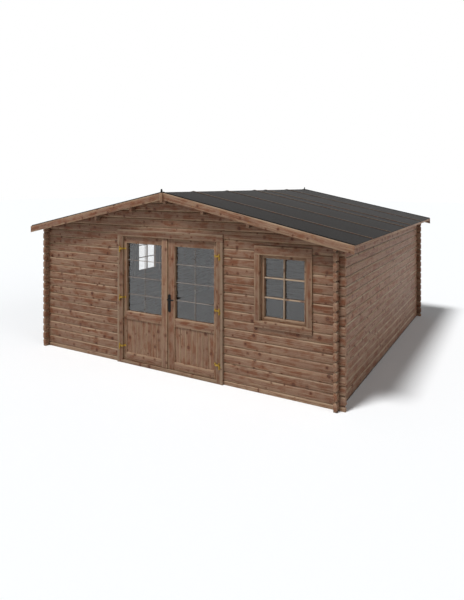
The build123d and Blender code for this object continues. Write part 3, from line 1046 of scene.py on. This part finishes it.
    def stain(self, board: Board, late_wood: Socket, streaks: Socket, fibres: Socket) -> Socket:
        """Stains the wood in streaks and slow blotches, with pale sapwood at the edges.

        Args:
            board: The point's board.
            late_wood: How much the point is late wood.
            streaks: Streaks along the grain.
            fibres: Fine fibres along the grain.

        Returns:
            The stained colour.
        """
        desk = board.desk
        blotch_spot = desk.stretched((board.x, board.y, board.z), self.blotch_waves)
        blotches = desk.fit(streaks, 0.35, desk.noise(blotch_spot, 1.0, 3.0, 0.6))
        warmth = desk.step(desk.fit(fibres, 0.1, blotches), 0.58, 0.8)
        colour = desk.mix(warmth, self.red, self.tan)
        sap = desk.times(desk.step(board.to_edge, 0.03, 0.008), desk.step(streaks, 0.36, 0.58, 0.0, 0.6))
        colour = desk.mix(desk.higher(sap, desk.step(streaks, 0.53, 0.7, 0.0, 0.75)), colour, self.pale)
        colour = desk.mix(desk.step(streaks, 0.47, 0.3, 0.0, 0.75), colour, self.dark)
        rings_show = desk.fit(late_wood, 0.3, desk.fit(fibres, 0.3, -0.15))
        return desk.mix(desk.higher(rings_show, 0.0), colour, self.dark)

    def outdoors(self, board: Board) -> Socket:
        """Tells the outer timber, which gets painted highlights, from what lies deeper in the cabin than the
        finish's depth, which is darkened as painted shade.

        Args:
            board: The point's board.

        Returns:
            1 outdoors and 0 indoors.
        """
        blur = 0.002
        past = [
            board.desk.step(here, wall - self.depth - blur, wall - self.depth + blur)
            for here, wall in zip(board.from_middle[:2], board.walls, strict=True)
        ]
        return board.desk.higher(*past)

    def tone_and_painted_light(self, board: Board, outdoors: Socket) -> tuple[Socket, Socket]:
        """Gives each board its own tone, and paints light and shade into the timber's colour.

        Args:
            board: The point's board.
            outdoors: 1 outdoors and 0 indoors.

        Returns:
            How strong the painted highlight is, and the gain of the colour, with the painted shade in it.
        """
        desk = board.desk
        here_x, here_y, here_z = board.from_middle
        wall_x, wall_y = board.walls

        # Faces that look up get a painted highlight, more on some stretches and boards, and slim bars are
        # painted pale as a highlight; timber indoors gets none.
        stretches = desk.noise(desk.together(desk.times(board.x, 1.4), 0.0, 0.0), 1.0, 2.0)
        wear_and_highlight = desk.step(stretches, 0.36, 0.64, 0.1, 1.2)
        wear_and_highlight = desk.times(wear_and_highlight, desk.fit(board.lot[1], self.top_highlight, self.top_highlight * 0.2))
        wear_and_highlight = desk.times(desk.step(board.rise, 0.3, 0.6), wear_and_highlight)
        thinnest, thickest = self.slim
        slim = desk.step(board.girth, thickest + 0.0004, thickest)
        slim = desk.times(slim, desk.step(board.girth, thinnest - 0.0005, thinnest))
        wear_and_highlight = desk.times(desk.fit(slim, self.slim_highlight, wear_and_highlight), outdoors)

        # Each board is a little lighter or darker than its neighbours, and its arrises get a painted
        # highlight.
        gain = desk.fit(board.lot[2], self.board_contrast, self.tone - self.board_contrast / 2)
        arris_highlight = desk.step(desk.higher(board.to_edge, board.to_face), 0.003, 0.0005)
        gain = desk.fit(arris_highlight, 0.2, gain)

        # On the side walls the upward bevels of the joints get a stronger painted highlight, and painted
        # shade darkens the downward bevels and the foot of the wall.
        aside = desk.step(here_x, wall_x - 0.016, wall_x - 0.013, 0.0, self.side_wall_light)
        aside = desk.times(aside, desk.step(here_x, wall_x + 0.006, wall_x + 0.003))
        wear_and_highlight = desk.times(wear_and_highlight, desk.fit(aside, 2.4, 1.0))
        under_shade = desk.higher(
            desk.step(board.rise, -0.3, -0.6, 0.0, 0.85), desk.step(here_z, 0.03, 0.01, 0.0, 0.8)
        )
        gain = desk.times(gain, desk.minus(1.0, desk.times(under_shade, aside)))
        # Timber indoors is darkened as painted shade.
        gain = desk.times(gain, desk.fit(outdoors, 1.0 - self.indoors, self.indoors))

        # Painted shade darkens the sloped faces in the joints of the crossed log ends, past the walls'
        # faces.
        crossed = desk.higher(
            desk.step(here_x, wall_x + 0.001, wall_x + 0.011),
            desk.step(here_y, wall_y + 0.002, wall_y + 0.012),
        )
        slope = desk.times(desk.step(desk.math("ABSOLUTE", board.rise), 0.3, 0.5, 0.0, self.notch_shade), crossed)
        return wear_and_highlight, desk.times(gain, desk.minus(1.0, slope))


@dataclass(frozen=True)
class MineralFelt:
    """Roofing felt with fine slate granules."""

    name: str
    base: Colour = rgb(38, 36, 35)
    grit: Colour = rgb(66, 64, 62)
    pits: Colour = rgb(26, 25, 25)
    granules: float = 420.0
    wash_waves: Move = (0.8, 3.5, 1.0)

    def material(self) -> bpy.types.Material:
        """Builds the finish.

        Returns:
            The material.
        """
        desk = Desk(bpy.data.materials.new(self.name))
        spot = desk.place()
        granules = desk.add("TexVoronoi", {"Vector": spot, "Scale": self.granules})
        luck = desk.apart(granules.outputs["Color"])[0]
        washed = desk.noise(desk.stretched(desk.apart(spot), self.wash_waves), 1.3, 4.0)
        mottle = desk.noise(spot, 38.0, 3.0)
        colour = desk.mix(desk.times(desk.step(luck, 0.7, 0.95), 0.55), self.base, self.grit)
        colour = desk.mix(desk.times(desk.step(luck, 0.28, 0.08), 0.6), colour, self.pits)
        height = desk.fit(luck, 0.6, desk.times(mottle, 0.5))
        return desk.finish(
            Base_Color=desk.shaded(colour, desk.fit(washed, 0.34, desk.fit(mottle, 0.2, 0.73))),
            Roughness=desk.fit(luck, 0.12, 0.84),
            Specular_IOR_Level=0.25,
            Normal=desk.bump(height, 0.0008, 0.7),
        )


@dataclass(frozen=True)
class Metal:
    """A cast or rolled metal with handling marks."""

    name: str
    clean: Colour
    wear_and_highlight: Colour
    metallic: float
    smooth: float
    dull: float
    shine: float = 0.5

    def material(self) -> bpy.types.Material:
        """Builds the finish.

        Returns:
            The material.
        """
        desk = Desk(bpy.data.materials.new(self.name))
        spot = desk.place()
        cloud = desk.noise(spot, 45.0, 4.0)
        speck = desk.noise(spot, 420.0, 2.0)
        return desk.finish(
            Base_Color=desk.mix(desk.step(cloud, 0.4, 0.68), self.clean, self.wear_and_highlight),
            Metallic=self.metallic,
            Roughness=desk.fit(speck, 0.12, desk.step(cloud, 0.3, 0.7, self.smooth, self.dull)),
            Specular_IOR_Level=self.shine,
            Normal=desk.bump(speck, 0.0002, 0.4),
        )


@dataclass(frozen=True)
class WindowGlass:
    """Clear float glass with a faint film of dust."""

    name: str
    tint: Colour = (0.98, 0.98, 0.98, 1.0)
    dusty: Colour = (0.94, 0.94, 0.93, 1.0)
    bend: float = 1.63

    def material(self) -> bpy.types.Material:
        """Builds the finish.

        Returns:
            The material.
        """
        desk = Desk(bpy.data.materials.new(self.name))
        film = desk.step(desk.noise(desk.place(), 3.0, 4.0), 0.45, 0.75)
        return desk.finish(
            Base_Color=desk.mix(film, self.tint, self.dusty),
            Roughness=desk.times(film, 0.015),
            IOR=self.bend,
            Transmission_Weight=1.0,
        )


@dataclass(frozen=True)
class StudioFloor:
    """A pale matt floor that shows pure white where the full light falls."""

    name: str = "studio_floor"
    to_camera: Colour = (0.968, 0.985, 1.0, 1.0)
    to_object: Colour = (0.8, 0.8, 0.8, 1.0)

    def material(self) -> bpy.types.Material:
        """Builds the finish.

        Returns:
            The material.
        """
        desk = Desk(bpy.data.materials.new(self.name))
        return desk.surface("BsdfDiffuse", {"Color": desk.mix(desk.seen(), self.to_object, self.to_camera)})


class Finishes:
    """Every finish of the cabin, each built once, by the slot that it fills."""

    def __init__(self) -> None:
        """Builds the finishes, after the frame has been loaded."""
        walls = (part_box("right_wall_even_logs")[1].x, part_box("rear_wall_even_logs")[1].y)
        wood = {
            # The wall logs get painted highlights and painted shade at their joints and crossed ends, and
            # their cut ends are lightened as painted light.
            Slot.WALLS: StainedWood(
                "stained_wall_logs", tone=0.94, top_highlight=0.26, end_stain_and_light=1.28, notch_shade=0.2, side_wall_light=1.0
            ),
            # The purlins are darkened as painted shade under the eaves, and their cut ends are lightened as
            # painted light.
            Slot.PURLINS: StainedWood("stained_purlins", tone=0.62, end_stain_and_light=1.9),
            Slot.ROOF_BOARDS: StainedWood("stained_roof_boards", tone=0.95),
            Slot.TRIM: StainedWood("stained_roof_trim", top_highlight=0.6, slim_highlight=0.0),
            Slot.BATTENS: StainedWood(
                "stained_felt_battens", tone=0.25, top_highlight=0.0, slim_highlight=0.0, depth=3.0
            ),
            Slot.FLOOR: StainedWood("stained_floor", tone=1.02, top_highlight=0.0),
            Slot.DOOR_FRAME: StainedWood("stained_door_frame", tone=0.74, slim_highlight=0.3),
            Slot.DOOR_LEAF: StainedWood("stained_door_leaf", tone=0.95, slim_highlight=0.05, depth=0.042),
            Slot.WINDOW: StainedWood("stained_window", tone=0.9, slim_highlight=0.6, depth=0.068),
        }
        others = {
            Slot.FELT: MineralFelt("slate_felt"),
            Slot.CAP: MineralFelt("ridge_cap_felt", base=rgb(40, 39, 39)),
            Slot.GLASS: WindowGlass("float_glass"),
            Slot.BRASS: Metal("brass", rgb(172, 140, 62), rgb(124, 96, 40), 0.9, 0.42, 0.6),
            Slot.HANDLE: Metal("black_iron", rgb(20, 21, 23), rgb(34, 34, 35), 0.0, 0.5, 0.7, shine=0.16),
        }
        self.wood_slots = set(wood)
        self.by_slot = {slot: finish.material(walls) for slot, finish in wood.items()}
        self.by_slot |= {slot: finish.material() for slot, finish in others.items()}
        # The door's glazing bars get a greyed colour, a painted reflection of glass lying over them.
        self.grey_bars = StainedWood(
            "greyed_door_bars",
            red=rgb(118, 100, 90),
            tan=rgb(132, 121, 113),
            pale=rgb(146, 137, 129),
            dark=rgb(104, 92, 84),
            knot=rgb(96, 82, 74),
            halo=rgb(112, 96, 86),
            highlight_colour=rgb(160, 150, 142),
            tone=1.12,
            top_highlight=0.0,
            slim_highlight=0.05,
            depth=0.042,
        ).material(walls)

    def dress(
        self, piece: Piece, slot: Slot, body: Body = Body.CABIN, finish: bpy.types.Material | None = None
    ) -> None:
        """Finishes a piece, and tells the frame its slot and body.

        Args:
            piece: The finished shape.
            slot: The material slot it belongs to.
            body: The body it rides on.
            finish: Its finish, if it isn't the slot's own.
        """
        if slot in self.wood_slots:
            lay_grain(piece)
        piece.data.materials.clear()
        piece.data.materials.append(finish or self.by_slot[slot])
        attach(piece, body.value)
        LOG.info("%s: %d faces, %s, on %s", piece.name, len(piece.data.polygons), slot.value, body.value)

    def dress_node(self, name: str, node: str, ease: float, slot: Slot, body: Body = Body.CABIN) -> None:
        """Rounds a copy of a CAD node and finishes it.

        Args:
            name: The name of the new piece, which stands for the node.
            node: The node to copy.
            ease: Width of its rounded edges.
            slot: The material slot it belongs to.
            body: The body it rides on.
        """
        self.dress(softened(name, node, ease), slot, body)


# ------------------------------------------------------------------- sub-assemblies


@dataclass
class LogWalls:
    """The four walls of crossed logs."""

    finishes: Finishes
    ease: float = 0.002
    course: float = 0.114
    thickness: float = 0.044
    bevel_in: float = 0.011
    bevel_up: float = 0.014
    flare: float = 0.006
    end_slope: float = 0.01
    end_reach: float = 0.012
    near: float = 0.004

    def build(self) -> None:
        """Rounds and stains the logs of every wall."""
        for side, along in (("front", 0), ("rear", 0), ("left", 1), ("right", 1)):
            for parity in ("even", "odd"):
                piece = softened(f"{side}_{parity}_courses", f"{side}_wall_{parity}_logs", self.ease)
                self.notch_ends(piece, along)
                self.finishes.dress(piece, Slot.WALLS)

    def notch_ends(self, piece: Piece, along: int) -> None:
        """Hews the joints wider at the crossed ends of a wall's logs, and slopes the ends back.

        Args:
            piece: The logs.
            along: The axis that they run along, 0 or 1.
        """
        across, near = 1 - along, self.near
        places = [vertex.co for vertex in piece.data.vertices]
        end = max(place[along] for place in places) - self.end_reach
        middle = (min(place[across] for place in places) + max(place[across] for place in places)) / 2
        first = 0.0 if along == 1 else self.course / 2

        def from_joint(z: float) -> float:
            """Measures how far a height lies above the nearest joint."""
            return (z - first + self.course / 2) % self.course - self.course / 2

        with edit_mode(piece) as pick:
            for way in (-1.0, 1.0):
                edge = middle + way * (self.thickness / 2 - self.bevel_in)
                if pick.corners(
                    lambda place, edge=edge: abs(place[along]) > end
                    and abs(from_joint(place.z)) < near
                    and abs(place[across] - edge) < near
                ):
                    bpy.ops.transform.translate(value=toward(across, -way * self.flare))
                if pick.corners(
                    lambda place, way=way: abs(place[along]) > end
                    and abs(from_joint(place.z) - way * self.bevel_up) < near
                    and abs(abs(place[across] - middle) - self.thickness / 2) < near
                ):
                    bpy.ops.transform.translate(value=toward(2, way * self.flare))
                if pick.corners(
                    lambda place, way=way: place[along] * way > end and abs(from_joint(place.z)) < near
                ):
                    bpy.ops.transform.translate(value=toward(along, -way * self.end_slope))
            bpy.ops.mesh.select_all(action="SELECT")
            bpy.ops.mesh.vert_connect_nonplanar(angle_limit=math.radians(3))


@dataclass
class Roof:
    """Purlins, roof boards, felt, battens and the boards that trim the verges."""

    finishes: Finishes
    board: float = 0.117
    joint: float = 0.004
    slope: float = 0.2126
    cap_half_width: float = 0.009
    cap_taper: Move = (0.35, 0.8, 1.0)
    lip: float = 0.012
    lip_sunk: float = 0.002
    ridge_gap: float = 0.004
    nail: float = 0.0035
    nail_step: float = 0.42
    nail_sunk: float = 0.0005
    verge_start: float = 0.09
    verge_drops: tuple[float, float] = (0.03, 0.07)
    end_gap: float = 0.06

    def build(self) -> None:
        """Builds every piece of the roof."""
        dress, dress_node = self.finishes.dress, self.finishes.dress_node
        dress_node("ridge_beam", "ridge_purlin", HEAVY_EASE, Slot.PURLINS)
        dress_node("side_beams", "side_purlins", HEAVY_EASE, Slot.PURLINS)
        for side in ("left", "right"):
            dress(self.boarding(side), Slot.ROOF_BOARDS)
            dress_node(f"{side}_felt", f"{side}_roof_felt", BOARD_EASE, Slot.FELT)
            dress_node(f"{side}_battens", f"{side}_felt_battens", BOARD_EASE, Slot.BATTENS)
        for name, node, ease in (
            ("front_verge_boards", "front_bargeboards", BOARD_EASE),
            ("rear_verge_boards", "rear_bargeboards", BOARD_EASE),
            ("eave_boards", "eave_strips", BOARD_EASE),
            ("gable_finials", "finials", HEAVY_EASE),
        ):
            dress_node(name, node, ease, Slot.TRIM)
        dress(self.caps(), Slot.CAP)
        dress(self.verge_lips(), Slot.FELT)
        dress(self.verge_nails(), Slot.BRASS)
        dress(self.batten_nails(), Slot.BRASS)

    def boarding(self, side: str) -> Piece:
        """Saws the tongued boards of one slope, with V joints seen from below.

        Args:
            side: left or right.

        Returns:
            The boards.
        """
        node = f"{side}_roof_boards"
        low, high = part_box(node)
        return sawn(f"{side}_boarding", node, even_cuts(low.y, high.y, self.board), 1, [-UP], self.joint)

    def caps(self) -> Piece:
        """Builds the two pointed felt caps at the ends of the ridge.

        Returns:
            Both caps as one piece.
        """
        caps = []
        for low, high in solid_boxes("ridge_caps"):
            middle = (low.x + high.x) / 2
            low.x, high.x = middle - self.cap_half_width, middle + self.cap_half_width
            cap = block("cap_part", low, high, BOARD_EASE)
            with edit_mode(cap) as pick:
                pick.faces(lambda face, top=high.z: face.calc_center_median().z > top - HEAVY_EASE)
                bpy.ops.transform.resize(value=self.cap_taper, center_override=tuple((low + high) / 2))
            caps.append(cap)
        whole = joined(caps, "ridge_end_caps")
        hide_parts("ridge_caps")
        return whole

    def verge_lips(self) -> Piece:
        """Turns the felt up in a low lip along both verges of both slopes.

        Returns:
            The four lips as one piece.
        """
        lips = []
        for side, way in (("left", -1.0), ("right", 1.0)):
            low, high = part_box(f"{side}_roof_felt")
            tilt = Matrix.Identity(4)
            tilt[2][0] = -way * self.slope
            start, end = sorted((way * self.ridge_gap, way * max(abs(low.x), abs(high.x))))
            foot = high.z - self.lip_sunk
            for inner, outer in ((low.y, low.y + self.lip), (high.y - self.lip, high.y)):
                lip = block("lip_part", (start, inner, foot), (end, outer, foot + self.lip), BOARD_EASE)
                lip.data.transform(tilt)
                lips.append(lip)
        return joined(lips, "felt_verge_lips")

    def nail_row(self, reach: float, start: float) -> list[float]:
        """Spaces nails over a board's reach, from the start to a gap before its end.

        Args:
            reach: How far the board reaches across the slope.
            start: Where the first nail stands.

        Returns:
            The nails' places.
        """
        count = int(reach / self.nail_step)
        return [start + (reach - start - self.end_gap) * i / count for i in range(count + 1)]

    def verge_nails(self) -> Piece:
        """Nails the bargeboards, two nails at a time.

        Returns:
            All the nails as one piece.
        """
        places = []
        for node, outward in (("front_bargeboards", -1.0), ("rear_bargeboards", 1.0)):
            turn = Matrix.Rotation(math.radians(180 if outward > 0 else 0), 4, "Z")
            for low, high in solid_boxes(node):
                way = 1.0 if low.x + high.x > 0 else -1.0
                face = low.y if outward < 0 else high.y
                for x in self.nail_row(high.x - low.x, self.verge_start):
                    for drop in self.verge_drops:
                        spot = Vector((way * x, face, high.z - x * self.slope - drop))
                        places.append(Matrix.Translation(spot) @ turn)
        return scatter(screw_head("verge_nail", self.nail, False), places, "verge_nails")

    def batten_nails(self) -> Piece:
        """Nails the felt battens along their length.

        Returns:
            All the nails as one piece.
        """
        places = []
        for side, way in (("left", -1.0), ("right", 1.0)):
            tilt = Matrix.Rotation(math.atan(self.slope) * way, 4, "Y")
            upright = Matrix.Rotation(math.radians(-90), 4, "X")
            for low, high in solid_boxes(f"{side}_felt_battens"):
                for x in self.nail_row(high.x - low.x, self.end_gap):
                    top = high.z - x * self.slope - self.nail_sunk
                    place = Matrix.Translation((way * x, (low.y + high.y) / 2, top))
                    places.append(place @ tilt @ upright)
        return scatter(screw_head("batten_nail", self.nail, False), places, "batten_nails")


@dataclass
class DoorFrame:
    """Jambs, head, threshold and casings of the doorway."""

    finishes: Finishes
    edge_strip: float = 0.03
    head_strip: float = 0.012
    proud: float = 0.005
    joint: float = 0.0025

    def build(self) -> None:
        """Builds the frame of the doorway."""
        for name, node in (
            ("jamb_posts", "door_jambs"),
            ("head_beam", "door_head"),
            ("threshold_beam", "door_threshold"),
        ):
            self.finishes.dress_node(name, node, BOARD_EASE, Slot.DOOR_FRAME)
        self.finishes.dress(self.side_casings(), Slot.DOOR_FRAME)
        top = max(high.z for _, high in outer_boxes("door_head_casings"))
        cuts = [top - self.head_strip]
        head = sawn("head_casing_boards", "door_head_casings", cuts, 2, [TO_FRONT], self.joint)
        self.finishes.dress(head, Slot.DOOR_FRAME)

    def side_casings(self) -> Piece:
        """Saws a strip off the outer edge of each side casing, and sets it proud.

        Returns:
            The casings.
        """
        boxes = outer_boxes("door_side_casings")
        line = max(high.x for _, high in boxes) - self.edge_strip
        face = min(low.y for low, _ in boxes)
        name, node = "side_casing_boards", "door_side_casings"
        sides = sawn(name, node, [-line, line], 0, [TO_FRONT], self.joint)
        with edit_mode(sides) as pick:
            pick.corners(lambda place: abs(place.x) > line - WELD * 10 and place.y < face + self.proud)
            bpy.ops.transform.translate(value=toward(1, -self.proud))
        return sides


@dataclass
class DoorLeaf:
    """One leaf of the double door."""

    finishes: Finishes
    side: str
    body: Body
    panel_board: float = 0.091
    panel_joint: float = 0.005
    bar: tuple[float, float] = (0.008, 0.006)
    bar_ease: float = 0.001
    bead: float = 0.005
    pane_rows: int = 4

    def build(self) -> None:
        """Builds the leaf's timber, glass and hinges."""
        dress, dress_node = self.finishes.dress, self.finishes.dress_node
        side, body = self.side, self.body
        glass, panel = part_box(f"{side}_door_glass"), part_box(f"{side}_door_panel")
        for part in ("stiles", "rails"):
            dress_node(f"{side}_leaf_{part}", f"{side}_door_{part}", HEAVY_EASE, Slot.DOOR_LEAF, body)
        dress(self.panel(), Slot.DOOR_LEAF, body)
        bars = glazing_bars(f"{side}_leaf_bars", glass, 0, self.pane_rows, self.bar, self.bar_ease)
        # The bars get the greyed finish with its painted reflection.
        dress(bars, Slot.DOOR_LEAF, body, self.finishes.grey_bars)
        dress(bead_ring(f"{side}_leaf_beads", [glass, panel], self.bead, 0), Slot.DOOR_LEAF, body)
        dress_node(f"{side}_leaf_glass", f"{side}_door_glass", 0.0, Slot.GLASS, body)
        dress_node(f"{side}_leaf_hinges", f"{side}_door_hinges", METAL_EASE, Slot.BRASS, body)
        if body is Body.LEFT_DOOR:
            dress_node("meeting_cover", "door_meeting_cover", HEAVY_EASE, Slot.DOOR_LEAF, body)

    def panel(self) -> Piece:
        """Saws the upright tongued boards of the lower panel.

        Returns:
            The boards.
        """
        node = f"{self.side}_door_panel"
        low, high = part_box(node)
        cuts = even_cuts(low.x, high.x, self.panel_board)
        return sawn(f"{self.side}_leaf_panel", node, cuts, 0, [TO_FRONT, TO_REAR], self.panel_joint)


@dataclass
class Hardware:
    """Fixed hinge halves, handle plates, the lever and their screws."""

    finishes: Finishes
    pin_end: float = 0.0085
    pin_gap: float = 0.0015
    knuckle: float = 0.008
    screw: float = 0.0042
    plate_ease: float = 0.0008
    plate_inset: float = 0.016
    lever_ease: float = 0.0012
    hinge_screw: float = 0.00336
    hinge_screw_rows: tuple[float, float] = (0.009, 0.02)
    hinge_screw_inset: float = 0.011
    hinge_plate: float = 0.0028

    def build(self) -> None:
        """Builds the metal fittings."""
        dress, dress_node = self.finishes.dress, self.finishes.dress_node
        dress_node("fixed_hinges", "frame_hinges", METAL_EASE, Slot.BRASS)
        dress_node("long_handle_plates", "handle_plates", self.plate_ease, Slot.HANDLE, Body.RIGHT_DOOR)
        dress_node("lever_handle", "door_lever", self.lever_ease, Slot.HANDLE, Body.LEVER)
        dress(self.plate_screws(), Slot.HANDLE, Body.RIGHT_DOOR)
        dress(self.frame_screws(), Slot.BRASS)
        dress(self.pin_ends(), Slot.BRASS)

    def pin_ends(self) -> Piece:
        """Turns the onion ends of the hinge pins, above and below each hinge.

        Returns:
            The pin ends as one piece.
        """
        radius = self.pin_end
        sizes = {"segments": 12, "ring_count": 8, "radius": radius}
        knob = primitive("hinge_pin_end", bpy.ops.mesh.primitive_uv_sphere_add, **sizes)
        with edit_mode(knob) as pick:
            pick.faces(lambda face: face.calc_center_median().z > radius * 0.85)
            bpy.ops.transform.translate(value=toward(2, radius * 0.3))
        places = []
        for low, high in solid_boxes("frame_hinges"):
            inner = low.x if low.x > 0 else high.x
            x, y = inner + math.copysign(self.knuckle, inner), low.y + self.knuckle
            places.append(Matrix.Translation((x, y, high.z + radius + self.pin_gap)))
            foot = Matrix.Translation((x, y, low.z - radius * 0.85))
            places.append(foot @ Matrix.Rotation(math.pi, 4, "X"))
        return scatter(knob, places, "hinge_pin_ends")

    def plate_screws(self) -> Piece:
        """Screws the handle plates to the stile, from the front and from the rear.

        Returns:
            The screws as one piece.
        """
        low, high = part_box("handle_plates")
        middle = (low.y + high.y) / 2
        places = []
        for low, high in solid_boxes("handle_plates"):
            outside = low.y < middle
            turn = Matrix.Rotation(0.0 if outside else math.radians(180), 4, "Z")
            y = low.y if outside else high.y
            for z in (low.z + self.plate_inset, high.z - self.plate_inset):
                places.append(Matrix.Translation(((low.x + high.x) / 2, y, z)) @ turn)
        return scatter(screw_head("plate_screw", self.screw, True), places, "handle_plate_screws")

    def frame_screws(self) -> Piece:
        """Screws the fixed halves of the hinges to the casing.

        Returns:
            The screws as one piece.
        """
        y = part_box("door_side_casings")[0].y - self.hinge_plate
        places = []
        for low, high in solid_boxes("frame_hinges"):
            x = low.x + self.hinge_screw_inset if low.x < 0 else high.x - self.hinge_screw_inset
            for row in self.hinge_screw_rows:
                places.append(Matrix.Translation((x, y, low.z + row)))
        return scatter(screw_head("hinge_screw", self.hinge_screw, True), places, "fixed_hinge_screws")


@dataclass
class Windows:
    """The two fixed windows."""

    finishes: Finishes
    bar: tuple[float, float] = (0.014, 0.032)
    bead: float = 0.005
    pane_rows: int = 3

    def build(self) -> None:
        """Builds the frames, sashes and panes of both windows."""
        dress, dress_node = self.finishes.dress, self.finishes.dress_node
        for name, node in (
            ("window_heads_and_sills", "window_head_and_foot_frames"),
            ("window_posts", "window_side_frames"),
            ("window_top_and_foot_trim", "window_head_and_foot_casings"),
            ("window_side_trim", "window_side_casings"),
            ("sash_rails", "window_sash_rails"),
            ("sash_stiles", "window_sash_stiles"),
        ):
            dress_node(name, node, BOARD_EASE, Slot.WINDOW)
        dress_node("window_panes", "window_glass", 0.0, Slot.GLASS)
        left, front = solid_boxes("window_glass")
        for name, pane, across in (("front_window", front, 0), ("side_window", left, 1)):
            bars = glazing_bars(f"{name}_bars", pane, across, self.pane_rows, self.bar, HEAVY_EASE)
            dress(bars, Slot.WINDOW)
            dress(bead_ring(f"{name}_beads", [pane], self.bead, across), Slot.WINDOW)


@dataclass
class Floor:
    """Floor boards on their bearers."""

    finishes: Finishes
    board: float = 0.12
    joint: float = 0.0015

    def build(self) -> None:
        """Builds the floor."""
        self.finishes.dress_node("bearers", "floor_bearers", BOARD_EASE, Slot.FLOOR)
        low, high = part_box("floor_boards")
        cuts = even_cuts(low.x, high.x, self.board)
        self.finishes.dress(sawn("boarded_floor", "floor_boards", cuts, 0, [UP], self.joint), Slot.FLOOR)


@dataclass
class Studio:
    """Floor, world, lamps and camera."""

    camera_place: Move = (4.2707, -8.1037, 2.5939)
    camera_turn: float = 29.89
    lens: float = 30.46
    shift: float = -0.1925
    clip_end: float = 500.0
    key_from: Move = (-0.34, -0.85, 1.9)
    key_strength: float = 2.76
    key_softness: float = 13.0
    fill_from: Move = (1.0, -0.12, 0.45)
    fill_strength: float = 0.58
    fill_softness: float = 40.0
    lamp_height: float = 6.0
    sky: float = 0.148
    floor_reach: float = 140.0

    def build(self) -> None:
        """Sets the stage round the cabin."""
        self.lay_floor()
        self.light_world()
        self.hang_sun("key_light", self.key_from, self.key_strength, self.key_softness)
        self.hang_sun("fill_light", self.fill_from, self.fill_strength, self.fill_softness)
        self.set_camera()
        bpy.context.scene.view_settings.view_transform = "Standard"

    def lay_floor(self) -> None:
        """Lays the studio floor at ground level."""
        floor = primitive("studio_floor", bpy.ops.mesh.primitive_plane_add, size=self.floor_reach)
        floor.data.materials.append(StudioFloor().material())

    def light_world(self) -> None:
        """Makes the world white to the eye and dim to matt surfaces."""
        world = bpy.data.worlds.new("studio_world")
        bpy.context.scene.world = world
        desk = Desk(world)
        direct = desk.math("LESS_THAN", desk.add("LightPath").outputs["Diffuse Depth"], 0.5)
        seen = desk.times(desk.seen(), direct)
        level = desk.add("MapRange", {"Value": seen, "To Min": self.sky, "To Max": 1.0}).outputs[0]
        desk.surface("Background", {"Color": (1.0, 1.0, 1.0, 1.0), "Strength": level})

    def hang_sun(self, name: str, come_from: Move, strength: float, softness: float) -> None:
        """Adds a far soft lamp.

        Args:
            name: The lamp's name.
            come_from: The direction that its light comes from.
            strength: Its strength.
            softness: Its width in degrees.
        """
        bpy.ops.object.light_add(type="SUN", location=toward(2, self.lamp_height))
        lamp = bpy.context.active_object
        lamp.name = name
        lamp.rotation_euler = Vector(come_from).to_track_quat("Z", "Y").to_euler()
        lamp.data.energy = strength
        lamp.data.angle = math.radians(softness)

    def set_camera(self) -> None:
        """Sets the camera level, with its shift for the framing."""
        bpy.ops.object.camera_add(location=self.camera_place)
        camera = bpy.context.active_object
        camera.rotation_euler = (math.radians(90), 0.0, math.radians(self.camera_turn))
        camera.data.lens = self.lens
        camera.data.shift_y = self.shift
        camera.data.clip_end = self.clip_end
        bpy.context.scene.camera = camera


def main() -> None:
    """Builds the cabin's looks and the studio."""
    logging.basicConfig(level=logging.INFO, format="%(message)s")
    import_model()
    finishes = Finishes()
    Studio().build()
    LogWalls(finishes).build()
    Roof(finishes).build()
    DoorFrame(finishes).build()
    DoorLeaf(finishes, "left", Body.LEFT_DOOR).build()
    DoorLeaf(finishes, "right", Body.RIGHT_DOOR).build()
    Hardware(finishes).build()
    Windows(finishes).build()
    Floor(finishes).build()


if __name__ == "__main__":
    main()
